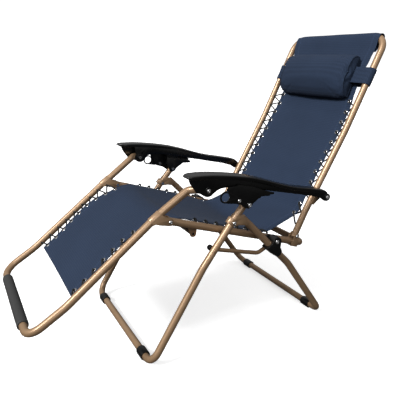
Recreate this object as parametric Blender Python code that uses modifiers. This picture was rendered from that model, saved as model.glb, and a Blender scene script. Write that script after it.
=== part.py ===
"""Zero gravity recliner: folding tube frame, laced sling, arm rails with slide locks."""
import math

import bmesh
import bpy
from mathutils import Matrix, Vector

# Side view of the linkage, (y, z) in metres: -y is the foot end, +y the head end, z = 0 the floor.
Y_SHIFT = -0.004            # brings the footprint centre onto the origin
CROSS = (0.000, 0.457)      # front legs cross the rear legs
SEAT_PIVOT = (0.176, 0.359)
BACK_PIVOT = (0.296, 0.345)
KNEE_PIVOT = (-0.210, 0.486)
ARM_FRONT = (-0.097, 0.580)
ARM_REAR = (0.393, 0.489)
LOCK_PIVOT = (0.049, 0.515)
LEVER_PIVOT = (0.006, 0.537)
RING_CENTRE = (-0.042, 0.555)
BRACE_PIVOT = (-0.069, 0.373)

TUBE = 0.0125               # radius of the 25 mm frame tube
ROD = 0.0072                # radius of the brace rod and the seat crossbar
GAP = 0.0003                # clearance between parts that touch
LEG_X = 0.285               # half-width of the two leg frames
BODY_X = 0.250              # half-width of the seat, back and leg rest frames
LOW_X = 0.252               # the leg rest is slightly wider at the foot end
BAR_Z = 0.0158              # axis height of the floor bars
FRONT_BAR_Y = -0.298
REAR_BAR_Y = 0.417
BOLT = 0.004                # bolt shank radius
BORE = 0.0043
SLING_X = 0.1965            # half-width of the sling between its laced edges
SIDES = ((1, "right"), (-1, "left"))

COLLECTION = bpy.data.collections.new("zero_gravity_recliner")
TOOLS = bpy.data.collections.new("construction")


def clear_scene():
    for obj in list(bpy.data.objects):
        bpy.data.objects.remove(obj, do_unlink=True)
    bpy.context.scene.collection.children.link(COLLECTION)
    bpy.context.scene.collection.children.link(TOOLS)


def material(name, colour, roughness, metallic):
    mat = bpy.data.materials.new(name)
    mat.use_nodes = True
    shader = mat.node_tree.nodes["Principled BSDF"]
    shader.inputs["Base Color"].default_value = (*colour, 1.0)
    shader.inputs["Roughness"].default_value = roughness
    shader.inputs["Metallic"].default_value = metallic
    mat.diffuse_color = (*colour, 1.0)
    return mat


def world(x, y, z):
    return Vector((x, y + Y_SHIFT, z))


def finish(obj, name, mat, parent=None, smooth=True):
    obj.name = name
    obj.data.name = name
    obj.data.materials.clear()
    obj.data.materials.append(mat)
    for owner in list(obj.users_collection):
        owner.objects.unlink(obj)
    COLLECTION.objects.link(obj)
    bpy.context.view_layer.objects.active = obj
    if smooth:
        obj.data.shade_smooth()
        obj.data.set_sharp_from_angle(angle=math.radians(35))
    if parent is not None:
        obj.parent = parent
        obj.matrix_parent_inverse = parent.matrix_world.inverted()
    return obj


def axis_empty(name, point, parent=None):
    empty = bpy.data.objects.new(name, None)
    empty.empty_display_size = 0.04
    COLLECTION.objects.link(empty)
    where = Matrix.Translation(world(0.0, *point))
    if parent is not None:
        empty.parent = parent
        empty.matrix_parent_inverse = parent.matrix_world.inverted()
    empty.matrix_world = where
    bpy.context.view_layer.update()
    return empty


def curve_to_mesh(curve_obj, weld=0.00005):
    bpy.context.view_layer.update()
    evaluated = curve_obj.evaluated_get(bpy.context.evaluated_depsgraph_get())
    mesh = bpy.data.meshes.new_from_object(evaluated)
    bm = bmesh.new()
    bm.from_mesh(mesh)
    bmesh.ops.remove_doubles(bm, verts=bm.verts, dist=weld)
    bmesh.ops.recalc_face_normals(bm, faces=bm.faces)
    bm.to_mesh(mesh)
    bm.free()
    obj = bpy.data.objects.new(curve_obj.name, mesh)
    obj.matrix_world = curve_obj.matrix_world
    TOOLS.objects.link(obj)
    bpy.data.objects.remove(curve_obj, do_unlink=True)
    bpy.context.view_layer.update()
    return obj


def rounded_path(points, radii, steps=5):
    """Polyline with each inner corner replaced by an arc of the given radius."""
    points = [Vector(p) for p in points]
    path = [points[0]]
    for before, corner, after, radius in zip(points, points[1:], points[2:], radii):
        into = (corner - before).normalized()
        out = (after - corner).normalized()
        turn = into.angle(out)
        if radius <= 0.0 or turn < 0.01:
            path.append(corner)
            continue
        reach = radius * math.tan(turn / 2.0)
        start = corner - into * reach
        bend = into.cross(out).normalized()
        centre = start + bend.cross(into) * radius
        count = max(2, int(round(steps * turn / (math.pi / 2.0))) + 1)
        for k in range(count + 1):
            spin = Matrix.Rotation(turn * k / count, 3, bend)
            path.append(centre + spin @ (start - centre))
    path.append(points[-1])
    return path


def tube(name, points, radius, resolution=4, cyclic=False):
    data = bpy.data.curves.new(name, "CURVE")
    data.dimensions = "3D"
    data.bevel_depth = radius
    data.bevel_resolution = resolution
    data.use_fill_caps = True
    spline = data.splines.new("POLY")
    spline.points.add(len(points) - 1)
    for slot, point in zip(spline.points, points):
        slot.co = (*point, 1.0)
    spline.use_cyclic_u = cyclic
    obj = bpy.data.objects.new(name, data)
    TOOLS.objects.link(obj)
    return curve_to_mesh(obj)


def side_plate(name, outline, x_inner, x_outer, holes=()):
    """Plate lying in a vertical side plane: outline and holes are (y, z) loops."""
    data = bpy.data.curves.new(name, "CURVE")
    data.dimensions = "2D"
    data.fill_mode = "BOTH"
    data.extrude = abs(x_outer - x_inner) / 2.0
    for loop in (outline, *holes):
        spline = data.splines.new("POLY")
        spline.points.add(len(loop) - 1)
        for slot, (y, z) in zip(spline.points, loop):
            slot.co = (y, z, 0.0, 1.0)
        spline.use_cyclic_u = True
    obj = bpy.data.objects.new(name, data)
    TOOLS.objects.link(obj)
    middle = (x_inner + x_outer) / 2.0
    obj.matrix_world = Matrix(
        ((0.0, 0.0, 1.0, middle), (1.0, 0.0, 0.0, Y_SHIFT), (0.0, 1.0, 0.0, 0.0), (0.0, 0.0, 0.0, 1.0))
    )
    return curve_to_mesh(obj)


def circle(centre, radius, count=20, start=0.0, sweep=2.0 * math.pi):
    closed = abs(sweep) > 6.28
    last = count if closed else count - 1
    return [
        (
            centre[0] + radius * math.cos(start + sweep * k / last),
            centre[1] + radius * math.sin(start + sweep * k / last),
        )
        for k in range(count)
    ]


def hull(*loops):
    """Convex outline round several loops, anticlockwise."""
    points = sorted({(round(y, 6), round(z, 6)) for loop in loops for y, z in loop})

    def half(sequence):
        chain = []
        for p in sequence:
            while len(chain) > 1:
                (ay, az), (by, bz) = chain[-2], chain[-1]
                if (by - ay) * (p[1] - az) - (bz - az) * (p[0] - ay) > 1e-9:
                    break
                chain.pop()
            chain.append(p)
        return chain

    return half(points)[:-1] + half(points[::-1])[:-1]


def turned_pin(name, side, point, steps, segments=12):
    """Turned pin along x: steps are (x, radius) pairs running outward."""
    mesh = bpy.data.meshes.new(name)
    profile = [(0.0, steps[-1][0])] + [(r, x) for x, r in reversed(steps)] + [(0.0, steps[0][0])]
    mesh.from_pydata([(r, 0.0, x) for r, x in profile], [(k, k + 1) for k in range(len(profile) - 1)], [])
    obj = bpy.data.objects.new(name, mesh)
    TOOLS.objects.link(obj)
    screw = obj.modifiers.new("Turn", "SCREW")
    screw.axis = "Z"
    screw.angle = 2.0 * math.pi
    screw.steps = segments
    screw.render_steps = segments
    screw.use_merge_vertices = True
    screw.merge_threshold = 0.0001
    obj.matrix_world = Matrix.Translation(world(0.0, *point)) @ Matrix.Rotation(side * math.pi / 2.0, 4, "Y")
    bpy.context.view_layer.update()
    evaluated = obj.evaluated_get(bpy.context.evaluated_depsgraph_get())
    turned = bpy.data.meshes.new_from_object(evaluated)
    bm = bmesh.new()
    bm.from_mesh(turned)
    bmesh.ops.remove_doubles(bm, verts=bm.verts, dist=0.00005)
    bmesh.ops.recalc_face_normals(bm, faces=bm.faces)
    bm.to_mesh(turned)
    bm.free()
    result = bpy.data.objects.new(name, turned)
    result.matrix_world = obj.matrix_world
    TOOLS.objects.link(result)
    bpy.data.objects.remove(obj, do_unlink=True)
    return result


def box(name, low, high):
    mesh = bpy.data.meshes.new(name)
    bm = bmesh.new()
    bmesh.ops.create_cube(bm, size=1.0)
    size = Vector(high) - Vector(low)
    bmesh.ops.scale(bm, vec=size, verts=bm.verts)
    bm.to_mesh(mesh)
    bm.free()
    obj = bpy.data.objects.new(name, mesh)
    obj.location = (Vector(high) + Vector(low)) / 2.0
    TOOLS.objects.link(obj)
    bpy.context.view_layer.update()
    return obj


def boolean(obj, cutter, operation):
    modifier = obj.modifiers.new("Cut", "BOOLEAN")
    modifier.operation = operation
    modifier.solver = "EXACT"
    modifier.object = cutter
    bpy.context.view_layer.update()
    evaluated = obj.evaluated_get(bpy.context.evaluated_depsgraph_get())
    mesh = bpy.data.meshes.new_from_object(evaluated)
    obj.modifiers.remove(modifier)
    obj.data = mesh
    bpy.data.objects.remove(cutter, do_unlink=True)
    return obj


def bore(obj, point, x_low, x_high, radius=BORE):
    mesh = bpy.data.meshes.new("bore")
    bm = bmesh.new()
    bmesh.ops.create_cone(
        bm, cap_ends=True, segments=12, radius1=radius, radius2=radius, depth=x_high - x_low
    )
    bm.to_mesh(mesh)
    bm.free()
    cutter = bpy.data.objects.new("bore", mesh)
    cutter.hide_render = True
    cutter.display_type = "WIRE"
    TOOLS.objects.link(cutter)
    cutter.matrix_world = Matrix.Translation(
        world((x_low + x_high) / 2.0, *point)
    ) @ Matrix.Rotation(math.pi / 2.0, 4, "Y")
    return boolean(obj, cutter, "DIFFERENCE")


def soften(obj, width, angle=50.0, segments=2):
    modifier = obj.modifiers.new("Bevel", "BEVEL")
    modifier.width = width
    modifier.segments = segments
    modifier.limit_method = "ANGLE"
    modifier.angle_limit = math.radians(angle)
    bpy.context.view_layer.update()
    evaluated = obj.evaluated_get(bpy.context.evaluated_depsgraph_get())
    obj.data = bpy.data.meshes.new_from_object(evaluated)
    obj.modifiers.clear()
    return obj


def along(start, end, distance):
    """Point on the line from start towards end."""
    a, b = Vector(start), Vector(end)
    return tuple(a + (b - a).normalized() * distance)


def u_frame(name, half_path, half_width, corner, bends, radius=TUBE):
    """Frame bent from one tube: half_path is the right side as (x, y, z), closed by a bar at its end."""
    right = [world(*p) for p in half_path]
    left = [Vector((-p.x, p.y, p.z)) for p in reversed(right)]
    radii = [*bends, corner, corner, *reversed(bends)]
    return tube(name, rounded_path(right + left, radii), radius)


def lacing(name, side, route, count, rail_x):
    """One cord zigzagging from the sling edge to the tube's inner side, count turns along the (y, z) route."""
    route = [Vector(p) for p in route]
    spans = [(b - a).length for a, b in zip(route, route[1:])]
    tip = rail_x - TUBE - 0.0026
    turn = [(0.2010, 0.0045), (0.2200, 0.0038), (tip, 0.0014), (tip, -0.0014), (0.2200, -0.0038), (0.2010, -0.0045)]
    path = []
    for k in range(count):
        for index, (x, height) in enumerate(turn):
            travel = sum(spans) * min(1.0, (k + index / len(turn)) / count)
            leg = 0
            while leg < len(spans) - 1 and travel > spans[leg]:
                travel -= spans[leg]
                leg += 1
            slope = (route[leg + 1] - route[leg]).normalized()
            normal = Vector((-slope.y, slope.x)) * (1.0 if slope.x > 0.0 else -1.0)
            spot = route[leg] + slope * travel + normal * height
            path.append(world(side * x, spot.x, spot.y))
    return tube(name, path, 0.0017, resolution=1)


def sling(name, stations, sag, columns=12, rows=10):
    """Hung cloth panel: stations are (y, z, sag share) down its length, closed by a Solidify."""
    verts = []
    lengths = [0.0]
    for a, b in zip(stations, stations[1:]):
        lengths.append(lengths[-1] + math.dist(a[:2], b[:2]))
    for row in range(rows + 1):
        t = lengths[-1] * row / rows
        k = max(i for i in range(len(stations) - 1) if lengths[i] <= t + 1e-9)
        f = (t - lengths[k]) / (lengths[k + 1] - lengths[k])
        a, b = stations[k], stations[k + 1]
        y, z, share = (p + (q - p) * f for p, q in zip(a, b))
        slope = Vector((b[0] - a[0], b[1] - a[1])).normalized()
        normal = Vector((-slope.y, slope.x))
        if normal.y < 0.0:
            normal = -normal
        for col in range(columns + 1):
            x = -SLING_X + 2.0 * SLING_X * col / columns
            u = min(1.0, abs(x) / 0.183)
            drop = sag * share * (1.0 - u * u) ** 2
            verts.append(world(x, y - normal.x * drop, z - normal.y * drop))
    faces = []
    for row in range(rows):
        for col in range(columns):
            a = row * (columns + 1) + col
            faces.append((a, a + 1, a + columns + 2, a + columns + 1))
    mesh = bpy.data.meshes.new(name)
    mesh.from_pydata(verts, [], faces)
    obj = bpy.data.objects.new(name, mesh)
    TOOLS.objects.link(obj)
    thick = obj.modifiers.new("Cloth", "SOLIDIFY")
    thick.thickness = 0.0024
    thick.offset = 0.0
    bpy.context.view_layer.update()
    evaluated = obj.evaluated_get(bpy.context.evaluated_depsgraph_get())
    obj.data = bpy.data.meshes.new_from_object(evaluated)
    obj.modifiers.clear()
    bm = bmesh.new()
    bm.from_mesh(obj.data)
    bmesh.ops.recalc_face_normals(bm, faces=bm.faces)
    bm.to_mesh(obj.data)
    bm.free()
    return obj


clear_scene()

BRONZE = material("bronze_paint", (0.36, 0.25, 0.16), 0.34, 0.75)
BRONZE_ROD = material("brace_paint", (0.33, 0.23, 0.15), 0.38, 0.75)
STEEL = material("bolt_steel", (0.62, 0.62, 0.62), 0.30, 1.0)
PLASTIC = material("arm_plastic", (0.020, 0.020, 0.022), 0.32, 0.0)
FITTING = material("fitting_plastic", (0.018, 0.018, 0.019), 0.45, 0.0)
CLOTH = material("sling_cloth", (0.038, 0.057, 0.106), 0.90, 0.0)
PILLOW_CLOTH = material("pillow_cloth", (0.036, 0.054, 0.100), 0.92, 0.0)
CORD = material("lace_cord", (0.016, 0.016, 0.018), 0.80, 0.0)
FOAM = material("roller_foam", (0.022, 0.022, 0.023), 0.80, 0.0)

seat_axis = axis_empty("seat_axis", SEAT_PIVOT)
back_axis = axis_empty("back_axis", BACK_PIVOT, seat_axis)
legrest_axis = axis_empty("legrest_axis", KNEE_PIVOT, seat_axis)
arm_axis = axis_empty("arm_axis", ARM_REAR, back_axis)
lock_axis = axis_empty("lock_axis", LOCK_PIVOT)
lever_axis = axis_empty("lever_axis", LEVER_PIVOT, lock_axis)
pillow_axis = axis_empty("pillow_axis", (0.560, 0.905), back_axis)

# ---- leg frames -------------------------------------------------------------------------------
rear_legs = u_frame(
    "rear_leg_frame",
    [(LEG_X, 0.0385, 0.4670), (LEG_X, 0.2413, 0.2602), (LEG_X, REAR_BAR_Y, BAR_Z)],
    LEG_X, 0.045, [0.16],
)
finish(rear_legs, "rear_leg_frame", BRONZE)

front_legs = u_frame(
    "front_leg_frame",
    [
        (LEG_X, *along(LOCK_PIVOT, CROSS, -0.0125)),
        (LEG_X, *CROSS),
        (LEG_X, -0.1080, 0.3170),
        (LEG_X, FRONT_BAR_Y, BAR_Z),
    ],
    LEG_X, 0.045, [0.0, 0.16],
)
for side, _ in SIDES:
    low, high = sorted((side * 0.26, side * 0.31))
    bore(front_legs, CROSS, low, high)
    bore(front_legs, LOCK_PIVOT, low, high)
    bore(front_legs, BRACE_PIVOT, low, high)
finish(front_legs, "front_leg_frame", BRONZE)

GUSSET = [
    (-0.0200, 0.4660), (-0.0140, 0.4520), (0.0000, 0.4475), (0.0240, 0.4475), (0.0470, 0.4420),
    (0.0560, 0.4505), (0.0360, 0.4760), (0.0220, 0.4815), (-0.0040, 0.4800),
]
GUSSET_WEB = [(0.0125, 0.4480), (0.0158, 0.4480), (0.0223, 0.4543), (0.0188, 0.4573)]
CLAMP = [
    (0.1340, 0.3420), (0.1460, 0.3300), (0.1740, 0.3055), (0.1850, 0.3035), (0.1945, 0.3090),
    (0.1985, 0.3190), (0.1955, 0.3290), (0.1910, 0.3355), (0.1925, 0.3440), (0.1943, 0.3560),
    (0.1925, 0.3665), (0.1860, 0.3745), (0.1760, 0.3770), (0.1665, 0.3745), (0.1600, 0.3665),
    (0.1575, 0.3560),
]
for side, label in SIDES:
    low, high = sorted((side * 0.26, side * 0.31))
    gusset = side_plate("cross_gusset_" + label, GUSSET, side * 0.2697, side * 0.2722)
    for outline, x_near, x_far in ((GUSSET, 0.2978, 0.3003), (GUSSET_WEB, 0.2700, 0.3000)):
        gusset = boolean(gusset, side_plate("wall", outline, side * x_near, side * x_far), "UNION")
    finish(bore(gusset, CROSS, low, high), "cross_gusset_" + label, BRONZE)

    clamp = side_plate("leg_fitting_" + label, CLAMP, side * 0.2697, side * 0.3040)
    leg = tube(
        "leg_clear",
        [world(side * LEG_X, 0.0385, 0.4670), world(side * LEG_X, 0.2413, 0.2602)],
        TUBE + GAP,
    )
    clamp = boolean(clamp, leg, "DIFFERENCE")
    clamp = bore(clamp, SEAT_PIVOT, low, high)
    finish(clamp, "leg_fitting_" + label, FITTING)

    for where, bar_y, cap_x in (("front", FRONT_BAR_Y, 0.211), ("rear", REAR_BAR_Y, 0.210)):
        cap = bpy.data.meshes.new("cap")
        bm = bmesh.new()
        bmesh.ops.create_cone(bm, cap_ends=True, segments=24, radius1=0.0172, radius2=0.0172, depth=0.042)
        bm.to_mesh(cap)
        bm.free()
        foot = bpy.data.objects.new("cap", cap)
        TOOLS.objects.link(foot)
        foot.matrix_world = Matrix.Translation(world(side * cap_x, bar_y, BAR_Z)) @ Matrix.Rotation(
            math.pi / 2.0, 4, "Y"
        )
        foot = bore(foot, (bar_y, BAR_Z), side * cap_x - 0.03, side * cap_x + 0.03, TUBE + GAP)
        under = box("floor_cut", (-0.4, -0.6, -0.05), (0.4, 0.6, 0.0))
        foot = boolean(foot, under, "DIFFERENCE")
        finish(foot, "{}_foot_cap_{}".format(where, label), FITTING)


def bolts(name, point, steps, parent=None):
    for side, label in SIDES:
        pin = turned_pin(name, side, point, steps)
        finish(pin, "{}_{}".format(name, label), STEEL, parent)


bolts(
    "cross_pivot_bolt", CROSS,
    [(0.2670, 0.0065), (0.2694, 0.0065), (0.2694, BOLT), (0.3006, BOLT), (0.3006, 0.0075), (0.3040, 0.0062)],
)
bolts(
    "seat_pivot_bolt", SEAT_PIVOT,
    [(0.2340, 0.0065), (0.2366, 0.0065), (0.2366, BOLT), (0.3043, BOLT), (0.3043, 0.0075), (0.3078, 0.0062)],
)
bolts(
    "lock_pivot_bolt", LOCK_PIVOT,
    [(0.2640, 0.0065), (0.2666, 0.0065), (0.2666, BOLT), (0.3127, BOLT), (0.3127, 0.0075), (0.3160, 0.0062)],
)

# ---- brace rods from the front legs to the rear-leg fittings, cranked up at their rear ends ----
for side, label in SIDES:
    route = [
        world(side * 0.2640, -0.0590, 0.3655), world(side * 0.2640, 0.1230, 0.3150),
        world(side * 0.2612, 0.1640, 0.3310),
    ]
    brace = tube("brace_rod_" + label, rounded_path(route, [0.035]), ROD)
    finish(brace, "brace_rod_" + label, BRONZE_ROD)
    cap = turned_pin(
        "brace_end_cap", side, BRACE_PIVOT,
        [(0.2555, 0.0085), (0.2570, 0.0095), (0.2705, 0.0095), (0.2720, 0.0085),
         (0.2720, BOLT), (0.2980, BOLT), (0.2980, 0.0070), (0.3012, 0.0058)],
    )
    finish(cap, "brace_end_cap_" + label, FITTING)

# ---- seat frame -------------------------------------------------------------------------------
rail_front = along(KNEE_PIVOT, SEAT_PIVOT, -0.0065)
rail_rear = along(KNEE_PIVOT, SEAT_PIVOT, 0.5780)
seat = u_frame(
    "seat_frame",
    [(BODY_X, *rail_front), (BODY_X, *rail_rear)],
    BODY_X, 0.034, [],
)
for side, _ in SIDES:
    low, high = sorted((side * 0.23, side * 0.27))
    bore(seat, KNEE_PIVOT, low, high)
    bore(seat, SEAT_PIVOT, low, high)
finish(seat, "seat_frame", BRONZE, seat_axis)

crossbar = tube("seat_crossbar", [world(-0.2360, -0.118, 0.4220), world(0.2360, -0.118, 0.4220)], ROD)
for side, _ in SIDES:
    ear = hull(circle((-0.118, 0.4220), 0.0120, 16), [(-0.1370, 0.4490), (-0.1040, 0.4395)])
    crossbar = boolean(crossbar, side_plate("ear", ear, side * 0.2345, side * 0.2370), "UNION")
finish(crossbar, "seat_crossbar", BRONZE_ROD, seat_axis)

RAIL = (Vector(SEAT_PIVOT) - Vector(KNEE_PIVOT)).normalized()


def on_rail(distance, height):
    """Point beside the seat rail, measured from the knee pivot."""
    return (
        KNEE_PIVOT[0] + RAIL.x * distance - RAIL.y * height,
        KNEE_PIVOT[1] + RAIL.y * distance + RAIL.x * height,
    )


LEG_SLOPE = Vector((-0.1275, -0.0892)).normalized()


def on_legrest(distance, height):
    """Point beside the upper leg rest tube, measured from above the knee pivot."""
    return (
        -0.205 + LEG_SLOPE.x * distance + LEG_SLOPE.y * height,
        0.5366 + LEG_SLOPE.y * distance - LEG_SLOPE.x * height,
    )


BACK_LUG = hull(circle(BACK_PIVOT, 0.0105, 14), [on_rail(0.508, -0.0153), on_rail(0.541, -0.0153)])
LUG_WEB = [on_rail(0.510, -0.0153), on_rail(0.539, -0.0153), on_rail(0.539, -0.0128), on_rail(0.510, -0.0128)]
KNEE_GUSSET = [
    on_legrest(0.038, 0.0153), on_legrest(0.080, 0.0153), on_legrest(0.084, -0.004), (-0.2640, 0.4830),
    (-0.2200, 0.4735), (-0.2060, 0.4740), (-0.1985, 0.4815), (-0.1990, 0.4910), (-0.2070, 0.4985),
    on_legrest(0.036, -0.0120), on_legrest(0.036, 0.0),
]
GUSSET_CAP = [
    on_legrest(0.040, 0.0128), on_legrest(0.040, 0.0153), on_legrest(0.080, 0.0153), on_legrest(0.080, 0.0128),
]


def channel(name, wall, web, pivot, side):
    """Two bored cheeks either side of a tube, joined by a web across it."""
    piece = side_plate(name, wall, side * 0.2346, side * 0.2372)
    piece = boolean(piece, side_plate("cheek", wall, side * 0.2628, side * 0.2654), "UNION")
    piece = boolean(piece, side_plate("web", web, side * 0.2350, side * 0.2650), "UNION")
    low, high = sorted((side * 0.23, side * 0.27))
    return bore(piece, pivot, low, high)


for side, label in SIDES:
    low, high = sorted((side * 0.23, side * 0.275))
    lug = channel("back_lug_" + label, BACK_LUG, LUG_WEB, BACK_PIVOT, side)
    finish(lug, "back_lug_" + label, BRONZE, seat_axis)

    saddle = side_plate(
        "seat_saddle_" + label,
        hull(circle(SEAT_PIVOT, 0.0150, 18), circle(along(SEAT_PIVOT, KNEE_PIVOT, 0.016), 0.0140, 14)),
        side * 0.2630, side * 0.2690,
    )
    finish(bore(saddle, SEAT_PIVOT, low, high), "seat_saddle_" + label, FITTING, seat_axis)

bolts(
    "knee_pivot_bolt", KNEE_PIVOT,
    [(0.2317, 0.0065), (0.2343, 0.0065), (0.2343, BOLT), (0.2657, BOLT), (0.2657, 0.0070), (0.2686, 0.0058)],
    legrest_axis,
)
bolts(
    "back_pivot_bolt", BACK_PIVOT,
    [(0.2317, 0.0065), (0.2343, 0.0065), (0.2343, BOLT), (0.2657, BOLT), (0.2657, 0.0070), (0.2686, 0.0058)],
    back_axis,
)

# ---- back frame -------------------------------------------------------------------------------
BACK_LINE = [(0.296, 0.345), (0.340, 0.432), (0.504, 0.714), (0.671, 1.0435)]
back = u_frame(
    "back_frame",
    [
        (BODY_X, *along(BACK_LINE[0], BACK_LINE[1], -0.0060)),
        (BODY_X, *BACK_LINE[1]),
        (BODY_X, *BACK_LINE[2]),
        (BODY_X, *BACK_LINE[3]),
    ],
    BODY_X, 0.055, [0.5, 0.5],
)
for side, _ in SIDES:
    low, high = sorted((side * 0.23, side * 0.27))
    bore(back, BACK_PIVOT, low, high)
finish(back, "back_frame", BRONZE, back_axis)

for side, label in SIDES:
    foot = hull(circle(ARM_REAR, 0.0100, 14), [(0.352, 0.462), (0.363, 0.455), (0.392, 0.507), (0.382, 0.513)])
    plate = side_plate("arm_bracket_" + label, foot, side * 0.2628, side * 0.2658)
    boss = turned_pin("boss", side, ARM_REAR, [(0.2640, 0.0090), (0.2960, 0.0090)], 16)
    plate = boolean(plate, boss, "UNION")
    low, high = sorted((side * 0.25, side * 0.31))
    finish(bore(plate, ARM_REAR, low, high), "arm_bracket_" + label, BRONZE, back_axis)

# ---- leg rest ---------------------------------------------------------------------------------
legrest = u_frame(
    "legrest_frame",
    [
        (0.2830, -0.0882, 0.5795),
        (0.2830, -0.1180, 0.5840),
        (BODY_X, -0.1480, 0.5765),
        (BODY_X, -0.2755, 0.4873),
        (LOW_X, -0.5440, 0.2780),
        (LOW_X, -0.6580, 0.2090),
    ],
    LOW_X, 0.050, [0.03, 0.03, 0.25, 0.25],
)
for side, _ in SIDES:
    low, high = sorted((side * 0.265, side * 0.30))
    bore(legrest, ARM_FRONT, low, high, 0.0070)
finish(legrest, "legrest_frame", BRONZE, legrest_axis)

for side, label in SIDES:
    gusset = channel("knee_gusset_" + label, KNEE_GUSSET, GUSSET_CAP, KNEE_PIVOT, side)
    finish(gusset, "knee_gusset_" + label, BRONZE, legrest_axis)

roller = bpy.data.meshes.new("roller")
bm = bmesh.new()
bmesh.ops.create_cone(bm, cap_ends=True, segments=24, radius1=0.0175, radius2=0.0175, depth=0.350)
bm.to_mesh(roller)
bm.free()
foot_roller = bpy.data.objects.new("roller", roller)
TOOLS.objects.link(foot_roller)
foot_roller.matrix_world = Matrix.Translation(world(0.0, -0.6580, 0.2090)) @ Matrix.Rotation(
    math.pi / 2.0, 4, "Y"
)
foot_roller = bore(foot_roller, (-0.6580, 0.2090), -0.19, 0.19, TUBE + 0.0009)
finish(foot_roller, "foot_roller", FOAM, legrest_axis)

# ---- armrests ---------------------------------------------------------------------------------
PAD_TOP = [
    (-0.180, 0.6345), (-0.173, 0.6370), (-0.160, 0.6380), (-0.131, 0.6378), (-0.095, 0.6350),
    (-0.060, 0.6305), (-0.010, 0.6225), (0.046, 0.6110), (0.100, 0.5955), (0.153, 0.5775),
    (0.195, 0.5640), (0.235, 0.5530), (0.280, 0.5435), (0.321, 0.5345), (0.350, 0.5275),
    (0.373, 0.5195), (0.386, 0.5095),
]
PAD_LOW = [
    (0.388, 0.5035), (0.370, 0.5070), (0.345, 0.5140), (0.321, 0.5205), (0.235, 0.5395),
    (0.153, 0.5645), (0.046, 0.5980), (-0.060, 0.6175), (-0.119, 0.6230), (-0.160, 0.6250), (-0.177, 0.6300),
]
SKIRT = [
    (-0.164, 0.6280), (-0.157, 0.6060), (-0.125, 0.5740), (-0.116, 0.5640), (-0.106, 0.5610),
    (-0.090, 0.5615), (-0.080, 0.5680), (-0.066, 0.5795), (-0.050, 0.5830), (0.000, 0.5810),
    (0.133, 0.5520), (0.213, 0.5310), (0.317, 0.5060), (0.360, 0.4915), (0.380, 0.4780),
    (0.393, 0.4750), (0.404, 0.4790), (0.408, 0.4890), (0.403, 0.5000), (0.386, 0.5070),
    (0.345, 0.5200), (0.235, 0.5455), (0.153, 0.5705), (0.046, 0.6040), (-0.060, 0.6240), (-0.119, 0.6300),
]
INNER_SKIRT = [
    (-0.045, 0.6200), (-0.045, 0.5900), (0.000, 0.5840), (0.133, 0.5550), (0.213, 0.5340),
    (0.317, 0.5090), (0.335, 0.5040), (0.340, 0.5180), (0.235, 0.5455), (0.153, 0.5705), (0.046, 0.6040),
]
LOCK_OUTER = [
    (-0.0300, 0.5480), (-0.0060, 0.5280), (0.0060, 0.5245), (0.0250, 0.5150), (0.0370, 0.5060),
    (0.0480, 0.5025), (0.0590, 0.5070), (0.0660, 0.5170), (0.0970, 0.5365), (0.1330, 0.5345),
    (0.1480, 0.5415), (0.1480, 0.5500), (0.0600, 0.5760), (0.0100, 0.5880), (-0.0260, 0.5880),
    (-0.0340, 0.5750),
]
LOCK_BODY = [
    (0.0250, 0.5350), (0.0360, 0.5060), (0.0480, 0.5025), (0.0590, 0.5070), (0.0660, 0.5170),
    (0.0970, 0.5365), (0.1330, 0.5345), (0.1330, 0.5435), (0.0450, 0.5655), (0.0240, 0.5655),
]
LOCK_CORE = [
    (0.0240, 0.5370), (0.0950, 0.5385), (0.1330, 0.5365), (0.1330, 0.5435), (0.0450, 0.5655), (0.0240, 0.5655),
]
LOCK_SLIDER = [(0.0250, 0.5600), (0.0750, 0.5520), (0.0750, 0.5800), (0.0250, 0.5890)]

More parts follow.
